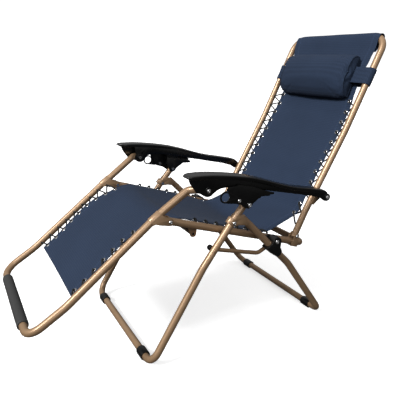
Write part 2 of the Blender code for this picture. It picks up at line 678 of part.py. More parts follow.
for side, label in SIDES:
    arm_low, arm_high = sorted((side * 0.25, side * 0.34))
    pad = side_plate("armrest_" + label, PAD_TOP + PAD_LOW, side * 0.2680, side * 0.3250)
    pad = soften(pad, 0.0045, 60.0, 2)
    holes = [circle(ARM_FRONT, BORE, 12), circle(ARM_REAR, BORE, 12)]
    skirt = side_plate("skirt", SKIRT, side * 0.2970, side * 0.3020, holes)
    pad = boolean(pad, skirt, "UNION")
    inner = side_plate("skirt", INNER_SKIRT, side * 0.2685, side * 0.2725)
    pad = boolean(pad, inner, "UNION")
    finish(pad, "armrest_" + label, PLASTIC, arm_axis)

    for where, point, start, head in (("front", ARM_FRONT, 0.2680, 0.0095), ("rear", ARM_REAR, 0.2600, 0.0065)):
        steps = [
            (start - 0.0026, head), (start, head), (start, BOLT),
            (0.3023, BOLT), (0.3023, 0.0075), (0.3058, 0.0062),
        ]
        pin = turned_pin("arm_bolt", side, point, steps)
        finish(pin, "arm_{}_bolt_{}".format(where, label), STEEL, arm_axis)

    lock = side_plate("lock_housing_" + label, LOCK_OUTER, side * 0.3068, side * 0.3124)
    lock = soften(lock, 0.0012, 60.0, 1)
    lock = boolean(lock, side_plate("cheek", LOCK_BODY, side * 0.2980, side * 0.3080), "UNION")
    lock = boolean(lock, side_plate("cheek", LOCK_BODY, side * 0.2670, side * 0.2722), "UNION")
    lock = boolean(lock, side_plate("core", LOCK_CORE, side * 0.2710, side * 0.2990), "UNION")
    lock = boolean(lock, side_plate("slider", LOCK_SLIDER, side * 0.2745, side * 0.2950), "UNION")
    lock = bore(lock, LOCK_PIVOT, arm_low, arm_high)
    lock = bore(lock, LEVER_PIVOT, arm_low, arm_high)
    finish(lock, "lock_housing_" + label, FITTING, lock_axis)

    lever = side_plate(
        "lock_lever_" + label,
        hull(circle(RING_CENTRE, 0.0170, 24), circle(LEVER_PIVOT, 0.0105, 18)),
        side * 0.3128, side * 0.3166,
        [circle(RING_CENTRE, 0.0112, 20), circle(LEVER_PIVOT, BORE, 12)],
    )
    finish(lever, "lock_lever_" + label, PLASTIC, lever_axis)
    bolt = turned_pin(
        "lever_bolt", side, LEVER_PIVOT,
        [(0.3040, 0.0065), (0.3064, 0.0065), (0.3064, BOLT), (0.3170, BOLT), (0.3170, 0.0070), (0.3200, 0.0058)],
    )
    finish(bolt, "lever_bolt_" + label, STEEL, lock_axis)

# ---- sling, lacing and pillow -----------------------------------------------------------------
back_sling = sling(
    "sling_back",
    [
        (0.324, 0.397, 0.0), (0.350, 0.432, 0.2), (0.366, 0.474, 0.5), (0.504, 0.714, 1.0),
        (0.640, 0.9820, 0.4), (0.654, 1.0097, 0.0),
    ],
    0.036, rows=14,
)
finish(back_sling, "sling_back", CLOTH, back_axis)
seat_line = [
    (*on_rail(0.030, 0.0), 0.3), (*on_rail(0.22, 0.0), 1.0), (*on_rail(0.37, 0.0), 0.8),
    (0.213, 0.358, 0.4), (0.250, 0.364, 0.2), (0.285, 0.377, 0.0),
]
finish(sling("sling_seat", seat_line, 0.030, rows=14), "sling_seat", CLOTH, seat_axis)
leg_sling = sling(
    "sling_legrest",
    [(-0.196, 0.5371, 0.3), (-0.2755, 0.4873, 0.8), (-0.520, 0.2967, 0.2)],
    0.030,
)
finish(leg_sling, "sling_legrest", CLOTH, legrest_axis)


RUNS = (
    ("back_lacing", [(0.366, 0.4767), (0.504, 0.7140), (0.590, 0.8837)], 11, back_axis, BODY_X),
    ("seat_lacing", [on_rail(0.118, 0.0), on_rail(0.394, 0.0)], 7, seat_axis, BODY_X),
    ("legrest_lacing", [(-0.298, 0.4698), (-0.515, 0.3006)], 7, legrest_axis, 0.2505),
)
for run, route, count, parent, rail_x in RUNS:
    for side, label in SIDES:
        cord = lacing(run, side, route, count, rail_x)
        finish(cord, "{}_{}".format(run, label), CORD, parent)

mesh = bpy.data.meshes.new("pillow")
bm = bmesh.new()
bmesh.ops.create_cube(bm, size=1.0)
bmesh.ops.scale(bm, vec=(0.380, 0.060, 0.168), verts=bm.verts)
bm.to_mesh(mesh)
bm.free()
pillow = bpy.data.objects.new("pillow", mesh)
TOOLS.objects.link(pillow)
BACK_TILT = math.atan2(0.3295, 0.167)
PILLOW_AT = (0.5639, 0.9155)
STRAP_RISE = 0.219
pillow.matrix_world = Matrix.Translation(world(0.0, *PILLOW_AT)) @ Matrix.Rotation(BACK_TILT - math.pi / 2.0, 4, "X")
pillow = soften(pillow, 0.027, 30.0, 4)
finish(pillow, "pillow", PILLOW_CLOTH, pillow_axis)

BAND = [
    (0.1880, 0.0085), (0.2250, 0.0150), (0.2500, 0.0150), (0.2606, 0.0106), (0.2650, 0.0),
    (0.2606, -0.0106), (0.2500, -0.0150), (0.2000, -0.0420), (0.1000, -0.0460), (0.0, -0.0460),
]
loop = BAND + [(-x, n) for x, n in reversed(BAND[:-1])]
up = Vector((0.167, 0.3295)).normalized()
out = Vector((-up.y, up.x))
base = Vector((0.504, 0.714)) + up * STRAP_RISE
verts = []
for x, n in loop:
    for shift in (-0.032, 0.032):
        spot = base + up * shift + out * n
        verts.append(world(x, spot.x, spot.y))
faces = [(2 * k, 2 * k + 1, 2 * k + 3, 2 * k + 2) for k in range(len(loop) - 1)]
mesh = bpy.data.meshes.new("pillow_strap")
mesh.from_pydata(verts, [], faces)
strap = bpy.data.objects.new("pillow_strap", mesh)
TOOLS.objects.link(strap)
thick = strap.modifiers.new("Band", "SOLIDIFY")
thick.thickness = 0.0014
thick.offset = 0.0
bpy.context.view_layer.update()
strap.data = bpy.data.meshes.new_from_object(strap.evaluated_get(bpy.context.evaluated_depsgraph_get()))
strap.modifiers.clear()
bm = bmesh.new()
bm.from_mesh(strap.data)
bmesh.ops.recalc_face_normals(bm, faces=bm.faces)
bm.to_mesh(strap.data)
bm.free()
finish(strap, "pillow_strap", PILLOW_CLOTH, pillow_axis)

bpy.context.view_layer.update()
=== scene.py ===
import math

import bmesh
import bpy
from mathutils import Matrix, Vector, noise

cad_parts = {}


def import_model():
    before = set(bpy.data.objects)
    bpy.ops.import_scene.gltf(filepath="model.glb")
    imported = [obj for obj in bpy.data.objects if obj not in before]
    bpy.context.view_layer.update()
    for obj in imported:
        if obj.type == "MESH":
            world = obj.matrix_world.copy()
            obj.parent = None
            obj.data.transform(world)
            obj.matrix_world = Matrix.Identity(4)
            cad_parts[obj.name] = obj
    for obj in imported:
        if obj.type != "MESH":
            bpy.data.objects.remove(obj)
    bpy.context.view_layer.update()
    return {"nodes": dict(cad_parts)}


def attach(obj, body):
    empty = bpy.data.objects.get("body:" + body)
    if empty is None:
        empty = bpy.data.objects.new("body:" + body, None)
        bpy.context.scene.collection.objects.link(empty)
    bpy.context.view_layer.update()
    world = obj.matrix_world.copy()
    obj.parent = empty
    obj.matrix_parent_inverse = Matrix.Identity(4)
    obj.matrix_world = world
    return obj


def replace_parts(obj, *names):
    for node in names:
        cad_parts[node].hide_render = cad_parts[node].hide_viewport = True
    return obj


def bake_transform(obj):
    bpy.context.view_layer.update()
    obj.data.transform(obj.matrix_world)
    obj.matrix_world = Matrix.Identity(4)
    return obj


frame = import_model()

SCENE = bpy.context.scene

# Side view of the chair, (y, z) in metres before the shift that centres the footprint.
Y_SHIFT = -0.004
CROSS = (0.0, 0.457)
SEAT_PIVOT = (0.176, 0.359)
BACK_PIVOT = (0.296, 0.345)
KNEE_PIVOT = (-0.21, 0.486)
ARM_FRONT = (-0.097, 0.58)
ARM_REAR = (0.393, 0.489)
LOCK_PIVOT = (0.049, 0.515)
LEVER_PIVOT = (0.006, 0.537)
BRACE_PIVOT = (-0.069, 0.373)
TUBE = 0.0125               # radius of the frame tube
ROD = 0.0072                # radius of the brace rods and the crossbar
LEG_X = 0.285               # half-widths: legs, seat and back, foot end of the leg rest
BODY_X = 0.25
LOW_X = 0.252
BAR_Z = 0.0158
FRONT_BAR_Y = -0.298
REAR_BAR_Y = 0.417
BOLT_HOLE = 0.0042
WELD = 0.00003
CLOTH_THICKNESS = 0.0013
BACK_LINE = [(0.296, 0.345), (0.34, 0.432), (0.504, 0.714), (0.671, 1.0435)]
SIDES = ((1, "right"), (-1, "left"))


def world(x, y, z):
    """Point of the frame at (x, y, z) of the side view."""
    return Vector((x, y + Y_SHIFT, z))


# ---- materials --------------------------------------------------------------------------------
class Nodes:
    """Short way to build a node tree round a Principled shader."""

    def __init__(self, name, colour, roughness, metallic=0.0):
        self.mat = bpy.data.materials.new(name)
        self.mat.use_nodes = True
        self.tree = self.mat.node_tree
        self.shader = self.tree.nodes["Principled BSDF"]
        self.set("Base Color", (*colour, 1.0))
        self.set("Roughness", roughness)
        self.set("Metallic", metallic)
        self.mat.diffuse_color = (*colour, 1.0)

    def set(self, socket, value):
        self.shader.inputs[socket].default_value = value

    def add(self, kind, **values):
        node = self.tree.nodes.new(kind)
        for key, value in values.items():
            if key.startswith("in_"):
                node.inputs[key[3:].replace("_", " ")].default_value = value
            else:
                setattr(node, key, value)
        return node

    def link(self, a, out, b, into):
        self.tree.links.new(a.outputs[out], b.inputs[into])

    def noise(self, scale, detail=3.0, kind="Object", rough=0.5, stretch=None):
        where = self.add("ShaderNodeTexCoord")
        tex = self.add("ShaderNodeTexNoise", in_Scale=scale, in_Detail=detail, in_Roughness=rough)
        if stretch:
            mapping = self.add("ShaderNodeMapping")
            mapping.inputs["Scale"].default_value = stretch
            self.link(where, kind, mapping, "Vector")
            self.link(mapping, "Vector", tex, "Vector")
        else:
            self.link(where, kind, tex, "Vector")
        return tex

    def ramp(self, source, out, stops):
        ramp = self.add("ShaderNodeValToRGB")
        ramp.color_ramp.elements[0].position = stops[0][0]
        ramp.color_ramp.elements[0].color = (*stops[0][1], 1.0)
        ramp.color_ramp.elements[1].position = stops[-1][0]
        ramp.color_ramp.elements[1].color = (*stops[-1][1], 1.0)
        for position, colour in stops[1:-1]:
            element = ramp.color_ramp.elements.new(position)
            element.color = (*colour, 1.0)
        self.link(source, out, ramp, "Fac")
        return ramp

    def span(self, source, out, low, high):
        node = self.add("ShaderNodeMapRange")
        node.inputs["To Min"].default_value = low
        node.inputs["To Max"].default_value = high
        self.link(source, out, node, "Value")
        return node

    def maths(self, operation, source, out, *values):
        """Math node on a socket and numbers, or on a socket and a second (node, socket) pair."""
        node = self.add("ShaderNodeMath", operation=operation)
        self.link(source, out, node, 0)
        for k, value in enumerate(values, 1):
            if isinstance(value, tuple):
                self.link(*value, node, k)
            else:
                node.inputs[k].default_value = value
        return node

    def bump(self, source, out, strength, distance):
        node = self.add("ShaderNodeBump", in_Strength=strength, in_Distance=distance)
        self.link(source, out, node, "Height")
        self.link(node, "Normal", self.shader, "Normal")
        return node


def grey(value):
    return (value, value, value)


def scaled(colour, factor):
    return tuple(c * factor for c in colour)


def paint(name, colour):
    """Metallic paint with fine flakes and a slow drift in gloss."""
    n = Nodes(name, colour, 0.33, 0.4)
    flake = n.noise(1400.0, 2.0)
    drift = n.noise(7.0, 4.0)
    mix = n.add("ShaderNodeMix", data_type="FLOAT")
    mix.inputs[0].default_value = 0.45
    n.link(flake, "Fac", mix, 2)
    n.link(drift, "Fac", mix, 3)
    ramp = n.ramp(mix, 0, [(0.3, scaled(colour, 0.86)), (0.52, colour), (0.74, scaled(colour, 1.16))])
    n.link(ramp, "Color", n.shader, "Base Color")
    rough = n.span(drift, "Fac", 0.34, 0.46)
    n.link(rough, "Result", n.shader, "Roughness")
    n.bump(flake, "Fac", 0.1, 0.0004)
    n.set("Coat Weight", 0.15)
    n.set("Coat Roughness", 0.28)
    return n.mat


def plastic(name, colour, roughness, grain, coat=0.0):
    """Moulded plastic with a fine grain."""
    n = Nodes(name, colour, roughness)
    fine = n.noise(grain, 3.0)
    wide = n.noise(22.0, 3.0)
    ramp = n.ramp(wide, "Fac", [(0.35, scaled(colour, 0.85)), (0.7, scaled(colour, 1.25))])
    n.link(ramp, "Color", n.shader, "Base Color")
    rough = n.span(wide, "Fac", roughness - 0.05, roughness + 0.07)
    n.link(rough, "Result", n.shader, "Roughness")
    n.bump(fine, "Fac", 0.18, 0.0003)
    n.set("Coat Weight", coat)
    return n.mat


def steel(name):
    n = Nodes(name, grey(0.72), 0.24, 1.0)
    wide = n.noise(260.0, 3.0, stretch=(1.0, 1.0, 6.0))
    rough = n.span(wide, "Fac", 0.18, 0.34)
    n.link(rough, "Result", n.shader, "Roughness")
    n.bump(wide, "Fac", 0.08, 0.0002)
    return n.mat


def weave(name, colour, kind, thread=0.0011, stitched=False):
    """Plain woven mesh cloth: two crossed sets of threads, over and under."""
    n = Nodes(name, colour, 0.82)
    where = n.add("ShaderNodeTexCoord")
    heights = []
    for rotation in (0.0, math.pi / 2.0):
        mapping = n.add("ShaderNodeMapping")
        mapping.inputs["Rotation"].default_value = (0.0, 0.0, rotation)
        n.link(where, kind, mapping, "Vector")
        wave = n.add("ShaderNodeTexWave", in_Scale=1.0 / (thread * 20.0), in_Distortion=0.25, in_Detail=1.0)
        wave.bands_direction = "X"
        n.link(mapping, "Vector", wave, "Vector")
        heights.append(wave)
    checks = n.add("ShaderNodeTexChecker", in_Scale=1.0 / thread)
    n.link(where, kind, checks, "Vector")
    mix = n.add("ShaderNodeMix", data_type="FLOAT")
    n.link(checks, "Fac", mix, 0)
    n.link(heights[0], "Fac", mix, 2)
    n.link(heights[1], "Fac", mix, 3)
    drift = n.noise(5.0, 4.0)
    # The threads' low spots are painted darker and their crowns lighter: painted shade and painted highlight
    # of the weave.
    painted_thread_shade = n.ramp(mix, 0, [(0.0, scaled(colour, 0.8)), (0.6, colour), (1.0, scaled(colour, 1.12))])
    tone = n.ramp(drift, "Fac", [(0.3, grey(0.93)), (0.7, grey(1.07))])
    blend = n.add("ShaderNodeMix", data_type="RGBA", blend_type="MULTIPLY")
    blend.inputs[0].default_value = 1.0
    n.link(painted_thread_shade, "Color", blend, 6)
    n.link(tone, "Color", blend, 7)
    last = blend
    if stitched:
        last = stitches(n, blend, colour)
    n.link(last, 2, n.shader, "Base Color")
    n.bump(mix, 0, 0.35, 0.0004)
    n.set("Sheen Weight", 0.02)
    n.set("Sheen Roughness", 0.5)
    n.set("Specular IOR Level", 0.12)
    return n.mat


def stitches(n, base, colour):
    """Two dashed rows of thread near the cloth's side edges, drawn from the cloth's own length and width."""
    uv = n.add("ShaderNodeUVMap", uv_map="hem")
    parts = n.add("ShaderNodeSeparateXYZ")
    n.link(uv, "UV", parts, "Vector")
    rows = [n.maths("COMPARE", parts, "X", edge, 0.00045) for edge in (0.0245, 0.0285)]
    both = n.maths("ADD", rows[0], "Value", (rows[1], "Value"))
    step = n.maths("MULTIPLY", parts, "Y", 1.0 / 0.0042)
    dash = n.maths("LESS_THAN", n.maths("FRACT", step, "Value"), "Value", 0.68)
    drawn = n.maths("MULTIPLY", both, "Value", (dash, "Value"))
    mix = n.add("ShaderNodeMix", data_type="RGBA")
    n.link(drawn, "Value", mix, 0)
    n.link(base, 2, mix, 6)
    mix.inputs[7].default_value = (*scaled(colour, 1.9), 1.0)
    return mix


def braid(name):
    """Braided cover of an elastic cord."""
    n = Nodes(name, grey(0.004), 0.8)
    where = n.add("ShaderNodeTexCoord")
    wave = n.add("ShaderNodeTexWave", in_Scale=180.0, in_Distortion=2.0, in_Detail=2.0)
    wave.bands_direction = "DIAGONAL"
    n.link(where, "Object", wave, "Vector")
    # The strands' grooves are painted darker than their crowns: painted shade in the braid.
    ramp = n.ramp(wave, "Fac", [(0.2, grey(0.0025)), (0.9, grey(0.007))])
    n.link(ramp, "Color", n.shader, "Base Color")
    n.bump(wave, "Fac", 0.4, 0.0005)
    return n.mat


def foam(name):
    n = Nodes(name, grey(0.022), 0.62)
    cells = n.add("ShaderNodeTexVoronoi", in_Scale=900.0)
    where = n.add("ShaderNodeTexCoord")
    n.link(where, "Object", cells, "Vector")
    # The cell pits are painted darker than their rims: painted shade in the pores.
    ramp = n.ramp(cells, "Distance", [(0.0, grey(0.015)), (0.8, grey(0.034))])
    n.link(ramp, "Color", n.shader, "Base Color")
    n.bump(cells, "Distance", 0.35, 0.0004)
    return n.mat


NAVY = (0.02, 0.0325, 0.062)
BRONZE = paint("bronze metallic paint", (0.35, 0.222, 0.126))
# A darker copy of the bronze paint: painted shade on the brace rods, their rivets and the seat crossbar,
# which sit low under the seat.
SHADED_BRONZE = paint("bronze paint with painted shade", (0.315, 0.196, 0.11))
BLACK = plastic("moulded black plastic", grey(0.002), 0.27, 700.0, 0.1)
FITTING = plastic("satin black nylon", grey(0.0022), 0.34, 900.0)
STEEL = steel("bright zinc")
CLOTH = weave("navy woven mesh", NAVY, "UV", stitched=True)
PILLOW = weave("navy pillow cloth", scaled(NAVY, 0.96), "Object")
BAND = weave("navy strap cloth", scaled(NAVY, 0.92), "Object")
CORD = braid("black elastic cord")
FOAM = foam("dark foam")


# ---- building helpers -------------------------------------------------------------------------
def place(obj, mat, body, smooth=35.0):
    """Shades the piece, gives it its material and hangs it on its body."""
    if obj.name not in SCENE.collection.objects:
        SCENE.collection.objects.link(obj)
    if obj.type == "MESH":
        obj.data.shade_smooth()
        if smooth:
            obj.data.set_sharp_from_angle(angle=math.radians(smooth))
    obj.data.materials.clear()
    obj.data.materials.append(mat)
    if body:
        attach(obj, body)
    return obj


def applied(obj):
    """The object with its modifiers applied."""
    bpy.context.view_layer.update()
    evaluated = obj.evaluated_get(bpy.context.evaluated_depsgraph_get())
    mesh = bpy.data.meshes.new_from_object(evaluated)
    obj.modifiers.clear()
    obj.data = mesh
    return obj


def mesh_object(name, bm):
    """A new object that holds a finished bmesh."""
    mesh = bpy.data.meshes.new(name)
    bm.to_mesh(mesh)
    bm.free()
    obj = bpy.data.objects.new(name, mesh)
    SCENE.collection.objects.link(obj)
    return obj


def curve_bmesh(name, data, matrix):
    """The surface of a curve, with its coincident points joined."""
    curve = bpy.data.objects.new(name, data)
    SCENE.collection.objects.link(curve)
    bpy.context.view_layer.update()
    mesh = bpy.data.meshes.new_from_object(curve.evaluated_get(bpy.context.evaluated_depsgraph_get()))
    bpy.data.objects.remove(curve, do_unlink=True)
    mesh.transform(matrix)
    bm = bmesh.new()
    bm.from_mesh(mesh)
    bmesh.ops.remove_doubles(bm, verts=bm.verts, dist=WELD)
    return bm


def skin(bm, rows, closed=True):
    """Faces between neighbouring rows of vertices, each row a ring when closed."""
    for a, b in zip(rows, rows[1:]):
        count = len(a)
        for k in range(count if closed else count - 1):
            m = (k + 1) % count
            bm.faces.new((a[k], a[m], b[m], b[k]))


def capped(name, bm, rings):
    """A closed body through the rings."""
    skin(bm, rings)
    bm.faces.new(rings[0])
    bm.faces.new(rings[-1])
    bmesh.ops.recalc_face_normals(bm, faces=bm.faces)
    return mesh_object(name, bm)


def thickened(obj, thickness):
    thick = obj.modifiers.new("Thickness", "SOLIDIFY")
    thick.thickness = thickness
    thick.offset = 0.0
    return obj


def rounded_edges(obj, width, segments=2, angle=50.0):
    """The object with its modifiers applied and every edge sharper than the angle bevelled."""
    bevel = obj.modifiers.new("Edges", "BEVEL")
    bevel.width = width
    bevel.segments = segments
    bevel.limit_method = "ANGLE"
    bevel.angle_limit = math.radians(angle)
    return applied(obj)


def run_on(points):
    """The points as vectors, with one more past each end."""
    pts = [Vector(p) for p in points]
    return [pts[0] * 2 - pts[1]] + pts + [pts[-1] * 2 - pts[-2]]


def between(a, b, c, d, t):
    """Point at share t from b to c on the Catmull-Rom curve through a, b, c and d."""
    return 0.5 * (
        (2 * b) + (c - a) * t + (2 * a - 5 * b + 4 * c - d) * t * t + (3 * b - a - 3 * c + d) * t ** 3
    )


def rounded_path(points, radii, steps=12):
    """The points joined by straight runs, with an arc of the given radius at each inner one."""
    points = [Vector(p) for p in points]
    path = [points[0]]
    for before, corner, after, radius in zip(points, points[1:], points[2:], radii):
        into = (corner - before).normalized()
        out = (after - corner).normalized()
        turn = into.angle(out)
        if radius <= 0.0 or turn < 0.01:
            path.append(corner)
            continue
        start = corner - into * (radius * math.tan(turn / 2.0))
        bend = into.cross(out).normalized()
        centre = start + bend.cross(into) * radius
        count = max(3, int(round(steps * turn / (math.pi / 2.0))) + 1)
        for k in range(count + 1):
            path.append(centre + Matrix.Rotation(turn * k / count, 3, bend) @ (start - centre))
    path.append(points[-1])
    return path


def tube(name, points, radius, resolution=8, cyclic=False):
    """Round tube along the points."""
    data = bpy.data.curves.new(name, "CURVE")
    data.dimensions = "3D"
    data.bevel_depth = radius
    data.bevel_resolution = resolution
    data.use_fill_caps = not cyclic
    spline = data.splines.new("POLY")
    spline.points.add(len(points) - 1)
    for slot, point in zip(spline.points, points):
        slot.co = (*point, 1.0)
    spline.use_cyclic_u = cyclic
    return mesh_object(name, curve_bmesh(name, data, Matrix()))


def u_frame(name, half, corner, bends, radius=TUBE):
    """Bent tube whose right half is given, mirrored, with one bar across its end."""
    right = [world(*p) for p in half]
    left = [Vector((-p.x, p.y, p.z)) for p in reversed(right)]
    return tube(name, rounded_path(right + left, [*bends, corner, corner, *reversed(bends)]), radius)


def along(start, end, distance):
    """Point at a distance from start towards end."""
    a, b = Vector(start), Vector(end)
    return tuple(a + (b - a).normalized() * distance)


def lathe(name, side, point, profile, segments=32):
    """Turned piece on the x axis: profile is (x, radius) pairs running outward from the centre line."""
    bm = bmesh.new()
    rings = []
    for x, radius in profile:
        ring = []
        count = 1 if radius < 1e-6 else segments
        for k in range(count):
            t = 2.0 * math.pi * k / segments
            ring.append(bm.verts.new((x, radius * math.cos(t), radius * math.sin(t))))
        rings.append(ring)
    for a, b in zip(rings, rings[1:]):
        for k in range(segments):
            quad = [a[k % len(a)], a[(k + 1) % len(a)], b[(k + 1) % len(b)], b[k % len(b)]]
            unique = []
            for vert in quad:
                if vert not in unique:
                    unique.append(vert)
            if len(unique) > 2:
                bm.faces.new(unique)
    bmesh.ops.recalc_face_normals(bm, faces=bm.faces)
    obj = mesh_object(name, bm)
    obj.data.transform(Matrix.Diagonal((side, 1.0, 1.0, 1.0)))
    if side < 0:
        obj.data.flip_normals()
    obj.data.transform(Matrix.Translation(world(0.0, *point)))
    return obj


def refined(node, width, mat, body, segments=2, angle=38.0):
    """The CAD piece with its sharp edges rounded."""
    mesh = frame["nodes"][node].data.copy()
    mesh.transform(frame["nodes"][node].matrix_world)
    bm = bmesh.new()
    bm.from_mesh(mesh)
    bmesh.ops.remove_doubles(bm, verts=bm.verts, dist=0.00004)
    bmesh.ops.dissolve_limit(bm, angle_limit=math.radians(2.0), verts=bm.verts, edges=bm.edges)
    obj = rounded_edges(mesh_object("fine_" + node, bm), width, segments, angle)
    place(obj, mat, body, 40.0)
    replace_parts(obj, node)
    return obj


# ---- frame tubes ------------------------------------------------------------------------------
piece = u_frame(
    "rear_legs", [(LEG_X, 0.0385, 0.467), (LEG_X, 0.2413, 0.2602), (LEG_X, REAR_BAR_Y, BAR_Z)], 0.045, [0.16]
)
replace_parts(place(piece, BRONZE, "stand"), "rear_leg_frame")

piece = u_frame(
    "front_legs",
    [
        (LEG_X, *along(LOCK_PIVOT, CROSS, -0.0125)), (LEG_X, *CROSS), (LEG_X, -0.108, 0.317),
        (LEG_X, FRONT_BAR_Y, BAR_Z),
    ],
    0.045, [0.0, 0.16],
)
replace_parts(place(piece, BRONZE, "stand"), "front_leg_frame")

for side, label in SIDES:
    route = [(0.264, -0.059, 0.3655), (0.264, 0.123, 0.315), (0.2612, 0.164, 0.331)]
    route = [world(side * x, y, z) for x, y, z in route]
    piece = tube("brace_" + label, rounded_path(route, [0.035], 20), ROD)
    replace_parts(place(piece, SHADED_BRONZE, "stand"), "brace_rod_" + label)

rail_front = along(KNEE_PIVOT, SEAT_PIVOT, -0.0065)
rail_rear = along(KNEE_PIVOT, SEAT_PIVOT, 0.578)
piece = u_frame("seat_rails", [(BODY_X, *rail_front), (BODY_X, *rail_rear)], 0.034, [])
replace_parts(place(piece, BRONZE, "seat"), "seat_frame")

piece = u_frame(
    "back_posts",
    [(BODY_X, *along(BACK_LINE[0], BACK_LINE[1], -0.006)), *((BODY_X, *p) for p in BACK_LINE[1:])],
    0.055, [0.5, 0.5],
)
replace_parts(place(piece, BRONZE, "back"), "back_frame")

piece = u_frame(
    "legrest_tube",
    [
        (0.285, -0.0875, 0.5792), (0.285, -0.1185, 0.585), (0.257, -0.147, 0.5785),
        (BODY_X, -0.225, 0.524), (BODY_X, -0.2755, 0.4873), (LOW_X, -0.544, 0.278),
        (LOW_X, -0.658, 0.209),
    ],
    0.05, [0.018, 0.022, 0.2, 0.25, 0.25],
)
for vert in piece.data.vertices:
    spot = Vector((vert.co.y - Y_SHIFT, vert.co.z)) - Vector(ARM_FRONT)
    if spot.length < 0.06 and abs(vert.co.x) > 0.24:
        press = 1.0 - max(0.0, min(1.0, (spot.length - 0.022) / 0.022))
        press = press * press * (3.0 - 2.0 * press)
        middle = math.copysign(0.285, vert.co.x)
        vert.co.x += (middle - vert.co.x) * 0.2 * press
        vert.co.z += spot.y * 0.06 * press
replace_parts(place(piece, BRONZE, "legrest"), "legrest_frame")

# ---- welded and clamped fittings --------------------------------------------------------------
for side, label in SIDES:
    refined("leg_fitting_" + label, 0.0022, FITTING, "stand", 3)
    refined("seat_saddle_" + label, 0.0016, FITTING, "seat", 3)
    refined("arm_bracket_" + label, 0.001, BRONZE, "back")
    for where in ("front", "rear"):
        refined("{}_foot_cap_{}".format(where, label), 0.0014, FITTING, "stand", 3)
refined("seat_crossbar", 0.0006, SHADED_BRONZE, "seat")


def hull(*groups):
    """Convex outline round the given points and loops."""
    points = []
    for group in groups:
        points += [group] if isinstance(group[0], float) else list(group)
    points = sorted(set(points))

    def chain(ordered):
        line = []
        for p in ordered:
            while len(line) > 1:
                a, b = line[-2], line[-1]
                if (b[0] - a[0]) * (p[1] - a[1]) - (b[1] - a[1]) * (p[0] - a[0]) > 0.0:
                    break
                line.pop()
            line.append(p)
        return line

    return chain(points)[:-1] + chain(points[::-1])[:-1]


def collar(name, side, x, a, b, up, radius, sweep, lean, thickness=0.0016):
    """Sheet bent round a tube between points a and b, its middle on the side that up points to."""
    a, b, up = Vector((0.0, *a)), Vector((0.0, *b)), Vector((0.0, *up)).normalized()
    bm = bmesh.new()
    rows = []
    for end in (a, a.lerp(b, 0.5), b):
        row = []
        for k in range(19):
            t = math.radians(lean + sweep * (k / 18.0 - 0.5))
            spot = end + Vector((side, 0.0, 0.0)) * (radius * math.sin(t)) + up * (radius * math.cos(t))
            row.append(bm.verts.new(world(side * x + spot.x, spot.y, spot.z)))
        rows.append(row)
    skin(bm, rows, False)
    bmesh.ops.recalc_face_normals(bm, faces=bm.faces)
    return rounded_edges(thickened(mesh_object(name, bm), thickness), 0.0005)


def side_plate(name, outline, near, far, holes=(), edge=0.001, segments=2):
    """Plate across x from near to far, its outline and holes given as (y, z) loops."""
    data = bpy.data.curves.new(name, "CURVE")
    data.dimensions = "2D"
    data.fill_mode = "BOTH"
    data.extrude = abs(far - near) / 2.0
    for loop in (outline, *holes):
        spline = data.splines.new("POLY")
        spline.points.add(len(loop) - 1)
        for slot, (y, z) in zip(spline.points, loop):
            slot.co = (y, z, 0.0, 1.0)
        spline.use_cyclic_u = True
    across = Matrix(((0, 0, 1, (near + far) / 2.0), (1, 0, 0, Y_SHIFT), (0, 1, 0, 0), (0, 0, 0, 1)))
    bm = curve_bmesh(name, data, across)
    bmesh.ops.dissolve_limit(bm, angle_limit=math.radians(2.0), verts=bm.verts, edges=bm.edges)
    bmesh.ops.recalc_face_normals(bm, faces=bm.faces)
    obj = mesh_object(name, bm)
    return rounded_edges(obj, edge, segments) if edge else obj


def circle(centre, radius, count=24):
    turns = [2 * math.pi * k / count for k in range(count)]
    return [(centre[0] + radius * math.cos(t), centre[1] + radius * math.sin(t)) for t in turns]


def bolt_hole(centre):
    return circle(centre, BOLT_HOLE, 16)


def merged(name, objects):
    """One object made of several."""
    bm = bmesh.new()
    for obj in objects:
        bm.from_mesh(obj.data)
        bpy.data.objects.remove(obj, do_unlink=True)
    return mesh_object(name, bm)


def bolt(name, node, side, point, face, radius, shaft_to, body):
    """Domed bolt head standing on an outer face, with a round socket and a plain shank."""
    socket = radius * 0.42
    profile = [
        (shaft_to, 0.0), (shaft_to, radius * 0.86),
        (shaft_to + 0.0022, radius * 0.9), (shaft_to + 0.0025, 0.0039),
        (face, 0.0039), (face, radius), (face + 0.0006, radius * 1.02), (face + 0.0012, radius * 0.99),
        (face + 0.0022, radius * 0.86), (face + 0.003, radius * 0.66), (face + 0.0034, socket * 1.08),
        (face + 0.0034, socket), (face + 0.0014, socket * 0.96), (face + 0.0012, 0.0),
    ]
    piece = lathe(name, side, point, profile)
    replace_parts(place(piece, STEEL, body, 30.0), node)


ON_LEG = Vector((-0.8194, -0.5733))
LEG_UP = Vector((-0.5733, 0.8194))
LEG_DOWN = (Vector((-0.108, 0.317)) - Vector(LOCK_PIVOT)).normalized()
LEG_LEFT = Vector((LEG_DOWN.y, -LEG_DOWN.x))


def on_legrest(distance, height):
    """Point beside the upper leg rest tube, measured from above the knee pivot."""
    return (
        -0.205 + ON_LEG.x * distance + LEG_UP.x * height,
        0.5366 + ON_LEG.y * distance + LEG_UP.y * height,
    )


